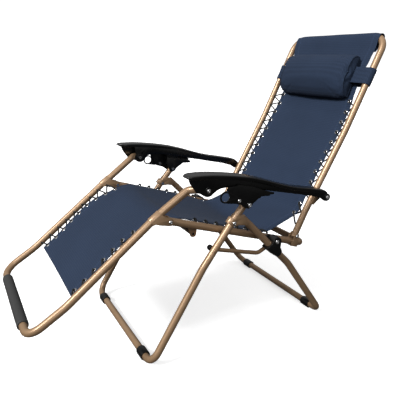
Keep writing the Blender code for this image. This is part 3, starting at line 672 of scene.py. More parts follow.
KNEE_PLATE = [
    on_legrest(0.04, 0.001), on_legrest(0.08, 0.001), on_legrest(0.0825, -0.006), (-0.26, 0.4865),
    (-0.245, 0.4815), (-0.22, 0.4755), (-0.212, 0.474), (-0.206, 0.474), (-0.201, 0.4775),
    (-0.1985, 0.483), (-0.1985, 0.489), (-0.2015, 0.4945), (-0.207, 0.4985), on_legrest(0.0362, -0.012),
]
CROSS_PLATE = [
    (-0.0082, 0.4585), (-0.0105, 0.451), (-0.004, 0.4482), (0.008, 0.4474), (0.024, 0.4475),
    (0.04, 0.4437), (0.047, 0.442), (0.053, 0.4445), (0.056, 0.4505), (0.05, 0.46), (0.04, 0.472),
    (0.032, 0.478), (0.022, 0.4815), (0.01, 0.4812), (0.004, 0.4745),
]
for side, label in SIDES:
    parts = []
    for near, far in ((0.2352, 0.2366), (0.2634, 0.2648)):
        holes = [bolt_hole(KNEE_PIVOT)]
        parts.append(side_plate("plate", KNEE_PLATE, side * near, side * far, holes, 0.0004))
    ends = on_legrest(0.04, 0.0), on_legrest(0.08, 0.0)
    parts.append(collar("saddle", side, BODY_X, *ends, LEG_UP, 0.014, 180.0, 0.0))
    piece = place(merged("knee_saddle_" + label, parts), BRONZE, "legrest", 40.0)
    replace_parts(piece, "knee_gusset_" + label)
    parts = []
    for near, far in ((0.2702, 0.2718), (0.2982, 0.2998)):
        parts.append(side_plate("plate", CROSS_PLATE, side * near, side * far, [bolt_hole(CROSS)], 0.0004))
    middle = Vector(CROSS) + LEG_LEFT * 0.0062
    ends = middle - LEG_DOWN * 0.0115, middle + LEG_DOWN * 0.0105
    parts.append(collar("wrap", side, LEG_X, *ends, LEG_LEFT, 0.014, 180.0, 0.0))
    piece = place(merged("cross_saddle_" + label, parts), BRONZE, "stand", 40.0)
    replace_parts(piece, "cross_gusset_" + label)
    refined("back_lug_" + label, 0.0008, BRONZE, "seat")
    head = lathe(
        "crossbar_bolt_" + label, side, (-0.118, 0.422),
        [(0.2371, 0.0), (0.2371, 0.004), (0.2378, 0.0043), (0.2388, 0.0038), (0.2393, 0.0026), (0.2394, 0.0)],
    )
    place(head, FITTING, "seat", 30.0)

for side, label in SIDES:
    for run, node, centre, face, radius, shaft_to, body in (
        ("cross", "cross_pivot", CROSS, 0.3006, 0.0072, 0.2668, "stand"),
        ("seat", "seat_pivot", SEAT_PIVOT, 0.3043, 0.0072, 0.2341, "stand"),
        ("lock", "lock_pivot", LOCK_PIVOT, 0.3127, 0.0072, 0.264, "stand"),
        ("knee", "knee_pivot", KNEE_PIVOT, 0.2657, 0.0066, 0.2317, "legrest"),
        ("back", "back_pivot", BACK_PIVOT, 0.2657, 0.0066, 0.2317, "back"),
        ("arm_front", "arm_front", ARM_FRONT, 0.3023, 0.0072, 0.2654, "arm_" + label),
        ("arm_rear", "arm_rear", ARM_REAR, 0.3023, 0.0072, 0.2574, "arm_" + label),
        ("lever", "lever", LEVER_PIVOT, 0.317, 0.0062, 0.3038, "lock_" + label),
    ):
        names = "bolt_{}_{}".format(run, label), "{}_bolt_{}".format(node, label)
        bolt(*names, side, centre, face, radius, shaft_to, body)
    cap = lathe(
        "brace_cap_" + label, side, BRACE_PIVOT,
        [
            (0.2545, 0.0), (0.2545, 0.0068), (0.2552, 0.0082), (0.257, 0.0094), (0.26, 0.0097),
            (0.269, 0.0097), (0.271, 0.0092), (0.272, 0.008), (0.272, 0.0039), (0.298, 0.0039),
            (0.298, 0.0),
        ],
    )
    head = lathe(
        "brace_rivet_" + label, side, BRACE_PIVOT,
        [(0.2981, 0.0), (0.2981, 0.0064), (0.299, 0.0068), (0.3002, 0.006), (0.301, 0.0042), (0.3012, 0.0)],
    )
    place(head, SHADED_BRONZE, "stand", 30.0)
    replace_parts(place(cap, FITTING, "stand", 30.0), "brace_end_cap_" + label)

rim = [(0.1715, 0.0177), (0.1735, 0.0174), (0.1745, 0.0168), (0.175, 0.0158), (0.175, 0.0127)]
roller = lathe(
    "roller_sleeve", 1, (-0.658, 0.209),
    [(-x, r) for x, r in reversed(rim)]
    + [(-0.165 + 0.33 * k / 24, 0.0177 + 0.00012 * math.sin(k * 2.1)) for k in range(25)]
    + [*rim, (-0.175, 0.0127)],
    40,
)
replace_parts(place(roller, FOAM, "legrest", 40.0), "foot_roller")

# ---- armrests ---------------------------------------------------------------------------------
# y, top z, underside z, inner x, outer x
PAD = [
    (-0.181, 0.634, 0.6328, 0.293, 0.317), (-0.177, 0.6362, 0.6305, 0.285, 0.3212),
    (-0.172, 0.6378, 0.628, 0.279, 0.3235), (-0.164, 0.6384, 0.6262, 0.2735, 0.3247),
    (-0.15, 0.6384, 0.6248, 0.27, 0.325), (-0.131, 0.6378, 0.6235, 0.2686, 0.325),
    (-0.113, 0.6366, 0.6222, 0.2682, 0.325), (-0.095, 0.635, 0.6208, 0.268, 0.325),
    (-0.06, 0.6305, 0.617, 0.268, 0.325), (-0.01, 0.6225, 0.609, 0.2682, 0.325),
    (0.046, 0.611, 0.598, 0.269, 0.3248), (0.1, 0.5955, 0.5825, 0.27, 0.3242),
    (0.153, 0.5775, 0.5645, 0.2712, 0.3232), (0.195, 0.564, 0.551, 0.2722, 0.322),
    (0.235, 0.553, 0.5395, 0.273, 0.3205), (0.28, 0.5435, 0.53, 0.2738, 0.319),
    (0.321, 0.5345, 0.5205, 0.2745, 0.3175), (0.35, 0.5275, 0.512, 0.2752, 0.316),
    (0.373, 0.5195, 0.5055, 0.2762, 0.314), (0.383, 0.513, 0.5035, 0.279, 0.311),
    (0.387, 0.5085, 0.5045, 0.284, 0.306),
]


def pad_section(top, low, inner, outer):
    """Rounded bar section with a low crown and a shallow step round its upper face."""
    radius = min(0.0034, (top - low) * 0.42)
    middle, half = (inner + outer) / 2.0, (outer - inner) / 2.0
    points = []
    for cx, cz, start in (
        (outer - radius, low + radius, -90.0), (outer - radius, top - radius, 0.0),
        (inner + radius, top - radius, 90.0), (inner + radius, low + radius, 180.0),
    ):
        for k in range(6):
            t = math.radians(start + 18.0 * k)
            points.append((cx + radius * math.cos(t), cz + radius * math.sin(t)))
        if start == 0.0:
            for k in range(1, 12):
                share = 1.0 - 2.0 * k / 12.0
                x = middle + (half - radius) * share
                points.append((x, top + 0.0016 * (1.0 - share * share) * min(1.0, (top - low) / 0.012)))
    return points


def arm_pad(name, side):
    """The arm rail: its section lofted through the stations."""
    stations = run_on(PAD)
    rows = []
    for a, b, c, d in zip(stations, stations[1:], stations[2:], stations[3:]):
        parts = max(1, int(round((c[0] - b[0]) / 0.008)))
        rows += [between(a, b, c, d, k / parts) for k in range(parts)]
    rows.append(stations[-2])
    bm = bmesh.new()
    rings = []
    for y, *section in rows:
        rings.append([bm.verts.new(world(side * x, y, z)) for x, z in pad_section(*section)])
    return capped(name, bm, rings)


SKIRT = [
    (-0.167, 0.629), (-0.1605, 0.6101), (-0.149, 0.5926), (-0.1393, 0.5797), (-0.1235, 0.5735),
    (-0.115, 0.5665), (-0.106, 0.562), (-0.096, 0.5612), (-0.087, 0.5645), (-0.079, 0.5705),
    (-0.066, 0.5785), (-0.054, 0.5822), (-0.03, 0.5828), (0.0, 0.581), (0.133, 0.552), (0.213, 0.531),
    (0.317, 0.506), (0.36, 0.4915), (0.38, 0.478), (0.393, 0.475), (0.404, 0.479), (0.408, 0.489),
    (0.403, 0.5), (0.386, 0.507), (0.345, 0.52), (0.235, 0.5455), (0.153, 0.5705), (0.046, 0.604),
    (-0.06, 0.624), (-0.119, 0.631),
]
BUMP = [
    (ARM_FRONT[0] + 0.0215 * math.cos(math.radians(t)), ARM_FRONT[1] + 0.02 * math.sin(math.radians(t)))
    for t in range(140, 345, 12)
]
INNER_SKIRT = [(-0.118, 0.627), (-0.1165, 0.605)] + BUMP + [
    (-0.066, 0.5845), (-0.05, 0.5885), (0.0, 0.5845), (0.133, 0.555), (0.213, 0.534), (0.317, 0.509),
    (0.335, 0.504), (0.34, 0.518), (0.235, 0.5455), (0.153, 0.5705), (0.046, 0.604), (-0.06, 0.624),
]
LOCK_OUTER = [
    (-0.037, 0.576), (-0.03, 0.569), (-0.024, 0.556), (-0.02, 0.545), (-0.008, 0.529), (0.0, 0.5262),
    (0.0176, 0.5205), (0.0356, 0.508), (0.0446, 0.5035), (0.0545, 0.51), (0.0575, 0.52),
    (0.0683, 0.5307), (0.0908, 0.5342), (0.0939, 0.54), (0.1276, 0.5358), (0.1296, 0.54),
    (0.1449, 0.5393), (0.1446, 0.5453), (0.0987, 0.5594), (0.09, 0.564), (0.06, 0.576), (0.005, 0.589),
    (-0.002, 0.586), (-0.031, 0.585),
]
LOCK_BODY = [
    (0.025, 0.535), (0.036, 0.506), (0.048, 0.5025), (0.059, 0.507), (0.066, 0.517), (0.097, 0.5365),
    (0.133, 0.5345), (0.133, 0.5435), (0.045, 0.565), (0.0245, 0.565),
]
LOCK_CORE = [
    (0.024, 0.537), (0.095, 0.5385), (0.133, 0.5365), (0.133, 0.543), (0.045, 0.5645), (0.0245, 0.5645),
]
LOCK_SLIDER = [(0.025, 0.56), (0.075, 0.552), (0.075, 0.58), (0.025, 0.589)]
RING = (-0.045, 0.5555)

for side, label in SIDES:
    pad = place(arm_pad("arm_pad_" + label, side), BLACK, "arm_" + label, 50.0)
    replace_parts(pad, "armrest_" + label)
    skirt = side_plate(
        "arm_skirt_" + label, SKIRT, side * 0.2972, side * 0.302,
        [bolt_hole(ARM_FRONT), bolt_hole(ARM_REAR)], 0.0012, 3,
    )
    place(skirt, BLACK, "arm_" + label, 40.0)
    inner = side_plate(
        "arm_inner_wall_" + label, INNER_SKIRT, side * 0.269, side * 0.2725, [bolt_hole(ARM_FRONT)], 0.0008
    )
    place(inner, BLACK, "arm_" + label, 40.0)
    boss = lathe(
        "arm_inner_boss_" + label, side, ARM_FRONT,
        [
            (0.27, 0.0043), (0.27, 0.0125), (0.269, 0.0125), (0.2684, 0.0117),
            (0.2688, 0.0096), (0.2689, 0.0043),
        ],
    )
    place(boss, BLACK, "arm_" + label, 30.0)
    for k, (centre, radius) in enumerate(((ARM_FRONT, 0.0125), (ARM_REAR, 0.0112))):
        boss = lathe(
            "arm_boss_{}_{}".format(label, k), side, centre,
            [
                (0.301, 0.0043), (0.301, radius), (0.302, radius), (0.3026, radius - 0.0008),
                (0.3022, radius - 0.0028), (0.3021, 0.0043),
            ],
        )
        place(boss, BLACK, "arm_" + label, 30.0)
    holes = [bolt_hole(LOCK_PIVOT), bolt_hole(LEVER_PIVOT)]
    parts = [
        side_plate("plate", LOCK_OUTER, side * 0.3068, side * 0.3118, holes, 0.0013, 3),
        side_plate("cheek", LOCK_BODY, side * 0.298, side * 0.3069, [holes[0]], 0.0006),
        side_plate("cheek", LOCK_BODY, side * 0.267, side * 0.2722, [holes[0]], 0.001),
        side_plate("core", LOCK_CORE, side * 0.271, side * 0.299, (), 0.0008),
        side_plate("slider", LOCK_SLIDER, side * 0.2745, side * 0.295, (), 0.0012, 3),
    ]
    housing = place(merged("lock_body_" + label, parts), FITTING, "lock_" + label, 40.0)
    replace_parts(housing, "lock_housing_" + label)
    lever = side_plate(
        "lever_ring_" + label, hull(circle(RING, 0.0192, 40), circle(LEVER_PIVOT, 0.01, 24)),
        side * 0.3128, side * 0.3166, [circle(RING, 0.0143, 32), bolt_hole(LEVER_PIVOT)], 0.0012, 3,
    )
    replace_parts(place(lever, BLACK, "lever_" + label, 40.0), "lock_lever_" + label)

# ---- sling ------------------------------------------------------------------------------------
BAR = Vector(BACK_LINE[3])
UP = Vector((0.167, 0.3295)).normalized()
OUT = Vector((-UP.y, UP.x))
RAIL = (Vector(SEAT_PIVOT) - Vector(KNEE_PIVOT)).normalized()
WRAP = TUBE + 0.0016


def on_bar(up, out):
    """Point at a distance along the back and out from it, measured from the top bar."""
    return tuple(BAR + UP * up + OUT * out)


def on_rail(distance, height):
    """Point above the seat rail, its distance measured from the knee pivot."""
    return (
        KNEE_PIVOT[0] + RAIL.x * distance - RAIL.y * height,
        KNEE_PIVOT[1] + RAIL.y * distance + RAIL.x * height,
    )


def smooth_line(points, step=0.006):
    """Evenly spaced points on a Catmull-Rom curve through the given ones."""
    pts = run_on(points)
    dense = []
    for a, b, c, d in zip(pts, pts[1:], pts[2:], pts[3:]):
        dense += [between(a, b, c, d, k / 24.0) for k in range(24)]
    dense.append(pts[-2])
    total = sum((q - p).length for p, q in zip(dense, dense[1:]))
    count = max(2, int(round(total / step)))
    out, travelled, target = [dense[0]], 0.0, total / count
    for p, q in zip(dense, dense[1:]):
        span = (q - p).length
        while travelled + span >= target - 1e-9 and len(out) < count:
            out.append(p.lerp(q, (target - travelled) / span))
            target += total / count
        travelled += span
    out.append(dense[-1])
    return out


TOP_PATH = [
    on_bar(-0.06, 0.0006), on_bar(-0.044, -0.004), on_bar(-0.024, -0.011), on_bar(-0.006, -WRAP),
    on_bar(WRAP * 0.5, -WRAP * 0.87), on_bar(WRAP * 0.87, -WRAP * 0.5), on_bar(WRAP, 0.0),
    on_bar(WRAP * 0.87, WRAP * 0.5), on_bar(WRAP * 0.5, WRAP * 0.87), on_bar(-0.004, WRAP),
    on_bar(-0.024, 0.0122), on_bar(-0.05, 0.007), on_bar(-0.085, 0.0025), on_bar(-0.14, -0.002),
    on_bar(-0.2, -0.008), (0.568, 0.8105), (0.551, 0.7718), (0.5298, 0.7365), (0.5088, 0.7008),
    (0.486, 0.6648), (0.4614, 0.6282), (0.439, 0.5936), (0.4172, 0.5577), (0.399, 0.5215),
    (0.379, 0.488), (0.366, 0.469), (0.3535, 0.444), (0.34, 0.4225), (0.3264, 0.412), (0.3043, 0.402),
    (0.275, 0.392), (0.247, 0.3822), (0.223, 0.3745), (0.2, 0.369), (0.178, 0.369), (0.156, 0.3745),
    on_rail(0.33, 0.0112),
]
LEG_PATH = [
    on_rail(0.33, 0.0112), on_rail(0.25, 0.0122), on_rail(0.15, 0.0125), on_rail(0.09, 0.0126),
    on_rail(0.055, 0.0126), (-0.178, 0.4835), (-0.204, 0.482), (-0.2307, 0.4775), (-0.2624, 0.4675),
    (-0.2996, 0.454), (-0.3381, 0.4345), (-0.3735, 0.4075), (-0.4088, 0.3778), (-0.4414, 0.3487),
    (-0.4737, 0.3211), (-0.5053, 0.2972), (-0.519, 0.288),
]
TOP_HALF = [
    (on_bar(0.0, -WRAP), 0.23), (on_bar(0.0, WRAP), 0.23), (on_bar(-0.04, 0.009), 0.229),
    (on_bar(-0.09, 0.0025), 0.22), (on_bar(-0.15, -0.003), 0.208), ((0.585, 0.845), 0.2075),
    ((0.551, 0.7718), 0.212), ((0.509, 0.701), 0.2165), ((0.399, 0.5215), 0.2165),
    ((0.34, 0.4225), 0.2165), ((0.247, 0.3822), 0.218), ((0.185, 0.369), 0.221), ((0.14, 0.376), 0.23),
    (on_rail(0.33, 0.0108), 0.24),
]
LEG_HALF = [
    (on_rail(0.33, 0.0108), 0.24), (on_rail(0.28, 0.012), 0.2455), (on_rail(0.08, 0.0126), 0.2455),
    (on_rail(0.05, 0.0126), 0.241), ((-0.178, 0.4835), 0.236), ((-0.1975, 0.4825), 0.2325),
    ((-0.216, 0.4805), 0.228), ((-0.235, 0.4765), 0.2145), ((-0.519, 0.288), 0.2145),
]
CORNER = 0.055


def over_bar(x, spot):
    """The sleeve's ends stay nearly straight and stand clear of the bar where that bends into the posts."""
    rel = spot - BAR
    up, out = rel @ UP, rel @ OUT
    lean = min(0.044, max(0.0, abs(x) - 0.195))
    if lean == 0.0 or up < -0.1:
        return spot
    fall = math.sqrt(CORNER ** 2 - lean ** 2)
    drop = CORNER - fall
    reach = 1.15 * TUBE * CORNER / fall
    level = (up + drop) / reach
    if abs(level) < 1.0:
        clear = (WRAP + 0.0006) * math.sqrt(1.0 - level * level)
        out = math.copysign(max(abs(out), clear), out)
    share = max(0.0, min(1.0, (up + 0.08) / 0.07))
    up -= min(0.0035, drop) * share * share * (3.0 - 2.0 * share)
    return BAR + UP * up + OUT * out


def normals(path):
    """Unit normals on the sitter's side of the line."""
    found = []
    for k in range(len(path)):
        slope = (path[min(k + 1, len(path) - 1)] - path[max(k - 1, 0)]).normalized()
        found.append(Vector((slope.y, -slope.x)))
    return found


class Cloth:
    """A strip of sling: a line down its length, a gentle sag between its laced edges."""

    def __init__(self, name, points, sags, halves, shape=None):
        self.name = name
        self.path = smooth_line(points)
        self.normals = normals(self.path)
        self.lengths = [0.0]
        for a, b in zip(self.path, self.path[1:]):
            self.lengths.append(self.lengths[-1] + (b - a).length)
        self.sags = sags
        self.shape = shape
        self.halves = [(self.nearest(point), half) for point, half in halves]

    def at(self, s):
        """Point and normal of the centre line at arc length s."""
        s = max(0.0, min(self.lengths[-1], s))
        k = 0
        while k < len(self.path) - 2 and self.lengths[k + 1] < s:
            k += 1
        f = (s - self.lengths[k]) / (self.lengths[k + 1] - self.lengths[k])
        spot = self.path[k].lerp(self.path[k + 1], f)
        return spot, self.normals[k].lerp(self.normals[k + 1], f).normalized()

    def nearest(self, point):
        best = min(range(len(self.path)), key=lambda k: (self.path[k] - Vector(point)).length)
        return self.lengths[best]

    def sag(self, s):
        """How far the middle hangs below the edges at arc length s."""
        share = s / self.lengths[-1]
        for (a, low), (b, high) in zip(self.sags, self.sags[1:]):
            if share <= b:
                f = (share - a) / (b - a)
                f = f * f * (3.0 - 2.0 * f)
                return low + (high - low) * f
        return self.sags[-1][1]

    def half(self, s):
        """Half the cloth's width at arc length s."""
        if s <= self.halves[0][0]:
            return self.halves[0][1]
        for (a, low), (b, high) in zip(self.halves, self.halves[1:]):
            if s <= b:
                f = (s - a) / max(1e-6, b - a)
                return low + (high - low) * f * f * (3.0 - 2.0 * f)
        return self.halves[-1][1]

    def eyelet(self, s):
        """An eyelet's distance from the middle: it is nearer the edge where the cloth lies on the rails."""
        half = self.half(s)
        return half - 0.014 + 0.004 * max(0.0, min(1.0, (half - 0.218) / 0.02))

    def point(self, s, x):
        """Point and normal of the cloth at arc length s and x across."""
        spot, normal = self.at(s)
        u = min(1.0, abs(x) / (self.half(s) - 0.01))
        drop = self.sag(s) * (1.0 - u * u) ** 1.4
        spot = spot - normal * drop
        if self.shape:
            spot = self.shape(x, spot)
        return world(x, spot.x, spot.y), Vector((0.0, normal.x, normal.y))

    def build(self, sites, scallop=0.0022, columns=34):
        """sites are the arc lengths of the grommets, between which the edge draws in a little."""
        bm = bmesh.new()
        uv = bm.loops.layers.uv.new("cloth")
        hem = bm.loops.layers.uv.new("hem")
        grid = []
        for s in self.lengths:
            row = []
            pull = 0.0
            if sites:
                near = min(abs(s - t) for t in sites)
                pull = 0.5 + 0.5 * math.cos(math.pi * min(1.0, near / 0.02))
            edge = self.half(s) + scallop * (pull - 0.5)
            for c in range(columns + 1):
                share = -1.0 + 2.0 * c / columns
                share = math.copysign(abs(share) ** 0.86, share)
                x = share * edge
                where, normal = self.point(s, x)
                ripple = 0.0009 * noise.noise(Vector((x * 9.0, s * 7.0, 3.1)))
                near_edge = max(0.0, 1.0 - (edge - abs(x)) / 0.06)
                if sites:
                    ripple += 0.0011 * near_edge * (pull - 0.5)
                row.append((bm.verts.new(where + normal * ripple), x, s, edge - abs(x)))
            grid.append(row)
        for a, b in zip(grid, grid[1:]):
            for c in range(columns):
                quad = (a[c], a[c + 1], b[c + 1], b[c])
                face = bm.faces.new([q[0] for q in quad])
                for loop, q in zip(face.loops, quad):
                    loop[uv].uv = (q[1], q[2])
                    loop[hem].uv = (q[3], q[2])
        return applied(thickened(mesh_object(self.name, bm), CLOTH_THICKNESS))


upper = Cloth(
    "sling_upper", TOP_PATH, [(0.0, 0.0), (0.17, 0.0), (0.4, 0.012), (0.66, 0.01), (0.8, 0.01), (1.0, 0.018)],
    TOP_HALF, over_bar,
)
lower = Cloth(
    "sling_lower", LEG_PATH,
    [(0.0, 0.018), (0.35, 0.016), (0.5, 0.006), (0.75, 0.007), (1.0, 0.006)], LEG_HALF,
)


def spread(cloth, start, end, count):
    """Even arc lengths between two points of the cloth."""
    a, b = cloth.nearest(start), cloth.nearest(end)
    return [a + (b - a) * k / (count - 1) for k in range(count)]


BACK_SITES = spread(upper, (0.5687, 0.8119), (0.377, 0.486), 10)
CORNER_SITES = spread(upper, (0.3545, 0.4455), (0.3264, 0.413), 2)
SEAT_HIGH = spread(upper, on_rail(0.394, 0.012), on_rail(0.352, 0.011), 2)
SEAT_LOW = spread(lower, on_rail(0.309, 0.0108), on_rail(0.094, 0.013), 6)
LEG_SITES = spread(lower, (-0.2307, 0.4775), (-0.5053, 0.2972), 9)

upper_cloth = upper.build(BACK_SITES + CORNER_SITES + SEAT_HIGH)
lower_cloth = lower.build(SEAT_LOW + LEG_SITES)
for cloth, mesh_nodes in ((upper_cloth, ("sling_back", "sling_seat")), (lower_cloth, ("sling_legrest",))):
    place(cloth, CLOTH, None, 60.0)
    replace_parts(cloth, *mesh_nodes)
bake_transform(upper_cloth)
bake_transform(lower_cloth)


def grommet(name, cloth, s, side, size=1.0):
    """Rolled metal eyelet through the cloth."""
    where, normal = cloth.point(s, side * cloth.eyelet(s))
    spin = Vector((1.0, 0.0, 0.0)).cross(normal).normalized()
    bm = bmesh.new()
    rings = []
    shape = [
        (0.0042, -0.0016), (0.005, -0.0021), (0.0072, -0.0019), (0.0082, -0.001), (0.008, -0.0007),
        (0.008, 0.0007), (0.0083, 0.0011), (0.0072, 0.0021), (0.0054, 0.0025), (0.0043, 0.0016),
    ]
    for k in range(20):
        t = 2.0 * math.pi * k / 20
        ray = Vector((1.0, 0.0, 0.0)) * math.cos(t) + spin * math.sin(t)
        rings.append([bm.verts.new(where + ray * (r * size) + normal * h) for r, h in shape])
    skin(bm, [*rings, rings[0]])
    bmesh.ops.recalc_face_normals(bm, faces=bm.faces)
    return mesh_object(name, bm)


def lace(name, cloth, sites, side, holds, radius=0.0028):
    """Elastic cord up through each eyelet and out to the tube's inner side between them."""
    path = []
    for k, s in enumerate(sites):
        spot, normal = cloth.point(s, side * cloth.eyelet(s))
        path += [spot - normal * 0.0065 + Vector((side * 0.0015, 0.0, 0.0)), spot, spot + normal * 0.0062]
        hold = holds[k]
        path.append((spot + hold) / 2.0 + normal * 0.006)
        path.append(hold + normal * 0.0022 + Vector((side * 0.0004, 0.0, 0.0)))
        path.append(hold - normal * 0.0022 + Vector((side * 0.0004, 0.0, 0.0)))
        if k + 1 < len(sites):
            after, other = cloth.point(sites[k + 1], side * cloth.eyelet(sites[k + 1]))
            path.append((after + hold) / 2.0 - other * 0.0062)
    return tube(name, smooth_cord(path), radius, 3)


def studs(name, cloth, sites, side):
    """Short loops up through the eyelets and over the edge into the top of the rail."""
    parts = []
    for s in sites:
        spot, normal = cloth.point(s, side * cloth.eyelet(s))
        along_rail = (Vector((spot.y - Y_SHIFT, spot.z)) - Vector(KNEE_PIVOT)) @ RAIL
        over = world(side * 0.247, *on_rail(along_rail, 0.017))
        into = world(side * 0.25, *on_rail(along_rail, 0.01))
        path = [spot - normal * 0.006, spot, spot + normal * 0.0056]
        path += [spot.lerp(over, 0.55) + normal * 0.0042, over, into]
        parts.append(tube("stud", smooth_cord(path), 0.0036, 3))
    return merged(name, parts)


def smooth_cord(points, parts=3):
    """The given points with more between them, on a smooth curve."""
    pts = [points[0], *points, points[-1]]
    out = []
    for a, b, c, d in zip(pts, pts[1:], pts[2:], pts[3:]):
        out += [between(a, b, c, d, k / parts) for k in range(parts)]
    out.append(pts[-2])
    return out


def foot_of(spot, line):
    """Nearest point to spot on a (y, z) polyline."""
    best = None
    for a, b in zip(line, line[1:]):
        a, b = Vector(a), Vector(b)
        t = max(0.0, min(1.0, (spot - a) @ (b - a) / (b - a).length_squared))
        q = a.lerp(b, t)
        if best is None or (q - spot).length < (best - spot).length:
            best = q
    return best


LEG_LINE = [(-0.185, 0.544), (-0.2755, 0.4873), (-0.544, 0.278)]


def holds_for(cloth, sites, side, line, shift, tip_x):
    """Where the lacing turns round the tube whose axis is line, between the eyelets."""
    out = []
    for s in sites:
        spot, _ = cloth.at(s + shift)
        foot = foot_of(spot, line)
        out.append(world(side * tip_x, foot.x, foot.y))
    return out


def laced(run, cloth, sites, side, label, body, cord, node=None, size=1.0):
    """Places one run of cord and its eyelets."""
    place(cord, CORD, body, 0.0)
    if node:
        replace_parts(cord, node + label)
    rings = merged("grommets_{}_{}".format(run, label), [grommet("g", cloth, s, side, size) for s in sites])
    place(rings, STEEL, body, 0.0)


for side, label in SIDES:
    holds = holds_for(upper, BACK_SITES, side, BACK_LINE, 0.019, 0.2364)
    cord = lace("cord_back_" + label, upper, BACK_SITES, side, holds)
    laced("back", upper, BACK_SITES, side, label, "back", cord, "back_lacing_")
    feet = [world(side * 0.2364, 0.3325, 0.4286), world(side * 0.2364, 0.3081, 0.3849)]
    cord = lace("cord_corner_" + label, upper, CORNER_SITES, side, feet, 0.0034)
    laced("corner", upper, CORNER_SITES, side, label, "back", cord)
    cord = studs("cord_seat_" + label, lower, SEAT_LOW, side)
    laced("seat", lower, SEAT_LOW, side, label, "seat", cord, "seat_lacing_", 0.68)
    cord = studs("cord_seat_rear_" + label, upper, SEAT_HIGH, side)
    laced("seat_rear", upper, SEAT_HIGH, side, label, "seat", cord, None, 0.68)
    holds = holds_for(lower, LEG_SITES[1:], side, LEG_LINE, 0.012, 0.2378)
    holds.insert(0, world(side * 0.234, -0.255, 0.49))
    cord = lace("cord_legrest_" + label, lower, LEG_SITES, side, holds)
    laced("legrest", lower, LEG_SITES, side, label, "legrest", cord, "legrest_lacing_")

# ---- pillow -----------------------------------------------------------------------------------
PILLOW_UP = 0.207            # centre, along the back and out from it
PILLOW_OUT = 0.034
PILLOW_HALF = 0.187          # half the pillow's width
PILLOW_BACK = -0.0275        # cloth behind this stays flat on the strap
PUFF_MOST = 0.01             # the most that the filling moves the cloth
PIPING = 0.0017
pillow_centre = Vector((0.504, 0.714)) + UP * PILLOW_UP + OUT * PILLOW_OUT
AXES = Matrix(((1.0, 0.0, 0.0), (0.0, OUT.x, UP.x), (0.0, OUT.y, UP.y)))


def pillow_point(x, out, up):
    """A point of the pillow: its lower edge leans back to the cloth, its upper edge clears the top bar."""
    out += 0.12 * up if up > 0.0 else 0.05 * up - 1.0 * up * up
    return world(0.0, *pillow_centre) + AXES @ Vector((x, out, up))


def bolster(name):
    """A D-shaped section lofted across, drawn in at its ends."""
    bm = bmesh.new()
    stations, around = 30, 30
    rings = []
    for k in range(stations + 1):
        share = -1.0 + 2.0 * k / stations
        x = PILLOW_HALF * math.copysign(abs(share) ** 0.8, share)
        end = 1.0 - 0.1 * abs(share) ** 10
        ring = []
        for j in range(around):
            t = 2.0 * math.pi * j / around
            c, s = math.cos(t), math.sin(t)
            out = (0.049 * c ** 0.92 if c > 0.0 else -0.006 * (-c) ** 0.5) * end - 0.0245
            up = (0.08 if s > 0.0 else 0.0895) * math.copysign(abs(s) ** 0.88, s) * end
            ring.append(bm.verts.new((x, out, up)))
        rings.append(ring)
    return capped(name, bm, rings)


pillow = bolster("head_pillow")
remesh = pillow.modifiers.new("Grid", "REMESH")
remesh.mode = "VOXEL"
remesh.voxel_size = 0.005
applied(pillow)
start = [v.co.copy() for v in pillow.data.vertices]
pin = pillow.vertex_groups.new(name="pin")
for v in pillow.data.vertices:
    pin.add([v.index], 1.0 if v.co.y < PILLOW_BACK else 0.0, "REPLACE")
cloth = pillow.modifiers.new("Puff", "CLOTH")
for setting, value in (
    ("use_pressure", True), ("uniform_pressure_force", 4.0), ("quality", 6), ("mass", 0.25),
    ("tension_stiffness", 22.0), ("bending_stiffness", 0.6), ("vertex_group_mass", "pin"),
):
    setattr(cloth.settings, setting, value)
cloth.settings.effector_weights.gravity = 0.0
cloth.point_cache.frame_start = 1
cloth.point_cache.frame_end = 20
for number in range(1, 21):
    SCENE.frame_set(number)
applied(pillow)
SCENE.frame_set(1)
for v, before in zip(pillow.data.vertices, start):
    move = v.co - before
    if move.length > PUFF_MOST:
        v.co = before + move.normalized() * PUFF_MOST
smooth = pillow.modifiers.new("Round", "SUBSURF")
smooth.levels = 1
smooth.render_levels = 1
applied(pillow)
for v in pillow.data.vertices:
    x, out, up = v.co
    rim = math.exp(-(((abs(x) - 0.17) / 0.012) ** 2))
    crease = 0.0022 * rim * noise.noise(Vector((x * 40.0, out * 30.0, up * 55.0)))
    fold = 0.0016 * noise.noise(Vector((x * 7.0, out * 12.0, up * 26.0)))
    radial = Vector((0.0, out, up)).normalized()
    v.co += radial * (crease + fold - 0.0012 * math.exp(-(((abs(x) - 0.18) / 0.0035) ** 2)))
surface = [v.co.copy() for v in pillow.data.vertices]
for v in pillow.data.vertices:
    v.co = pillow_point(*v.co)
place(pillow, PILLOW, "headrest", 0.0)
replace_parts(pillow, "pillow")

for side, label in SIDES:
    ring = []
    for k in range(40):
        t = 2.0 * math.pi * k / 40
        ray = Vector((0.0, math.cos(t), math.sin(t)))
        best, reach = 0.0, 0.0
        for p in surface:
            if abs(p.x - side * 0.184) < 0.0045:
                flat = Vector((0.0, p.y, p.z))
                outward = flat @ ray
                score = outward - 4.0 * (flat - ray * outward).length
                if score > best:
                    best, reach = score, outward
        if reach:
            spot = ray * (reach - 0.0004)
            ring.append(pillow_point(side * 0.185, spot.y, spot.z))
    piping = tube("pillow_piping_" + label, ring, PIPING, 3, cyclic=True)
    place(piping, PILLOW, "headrest", 0.0)

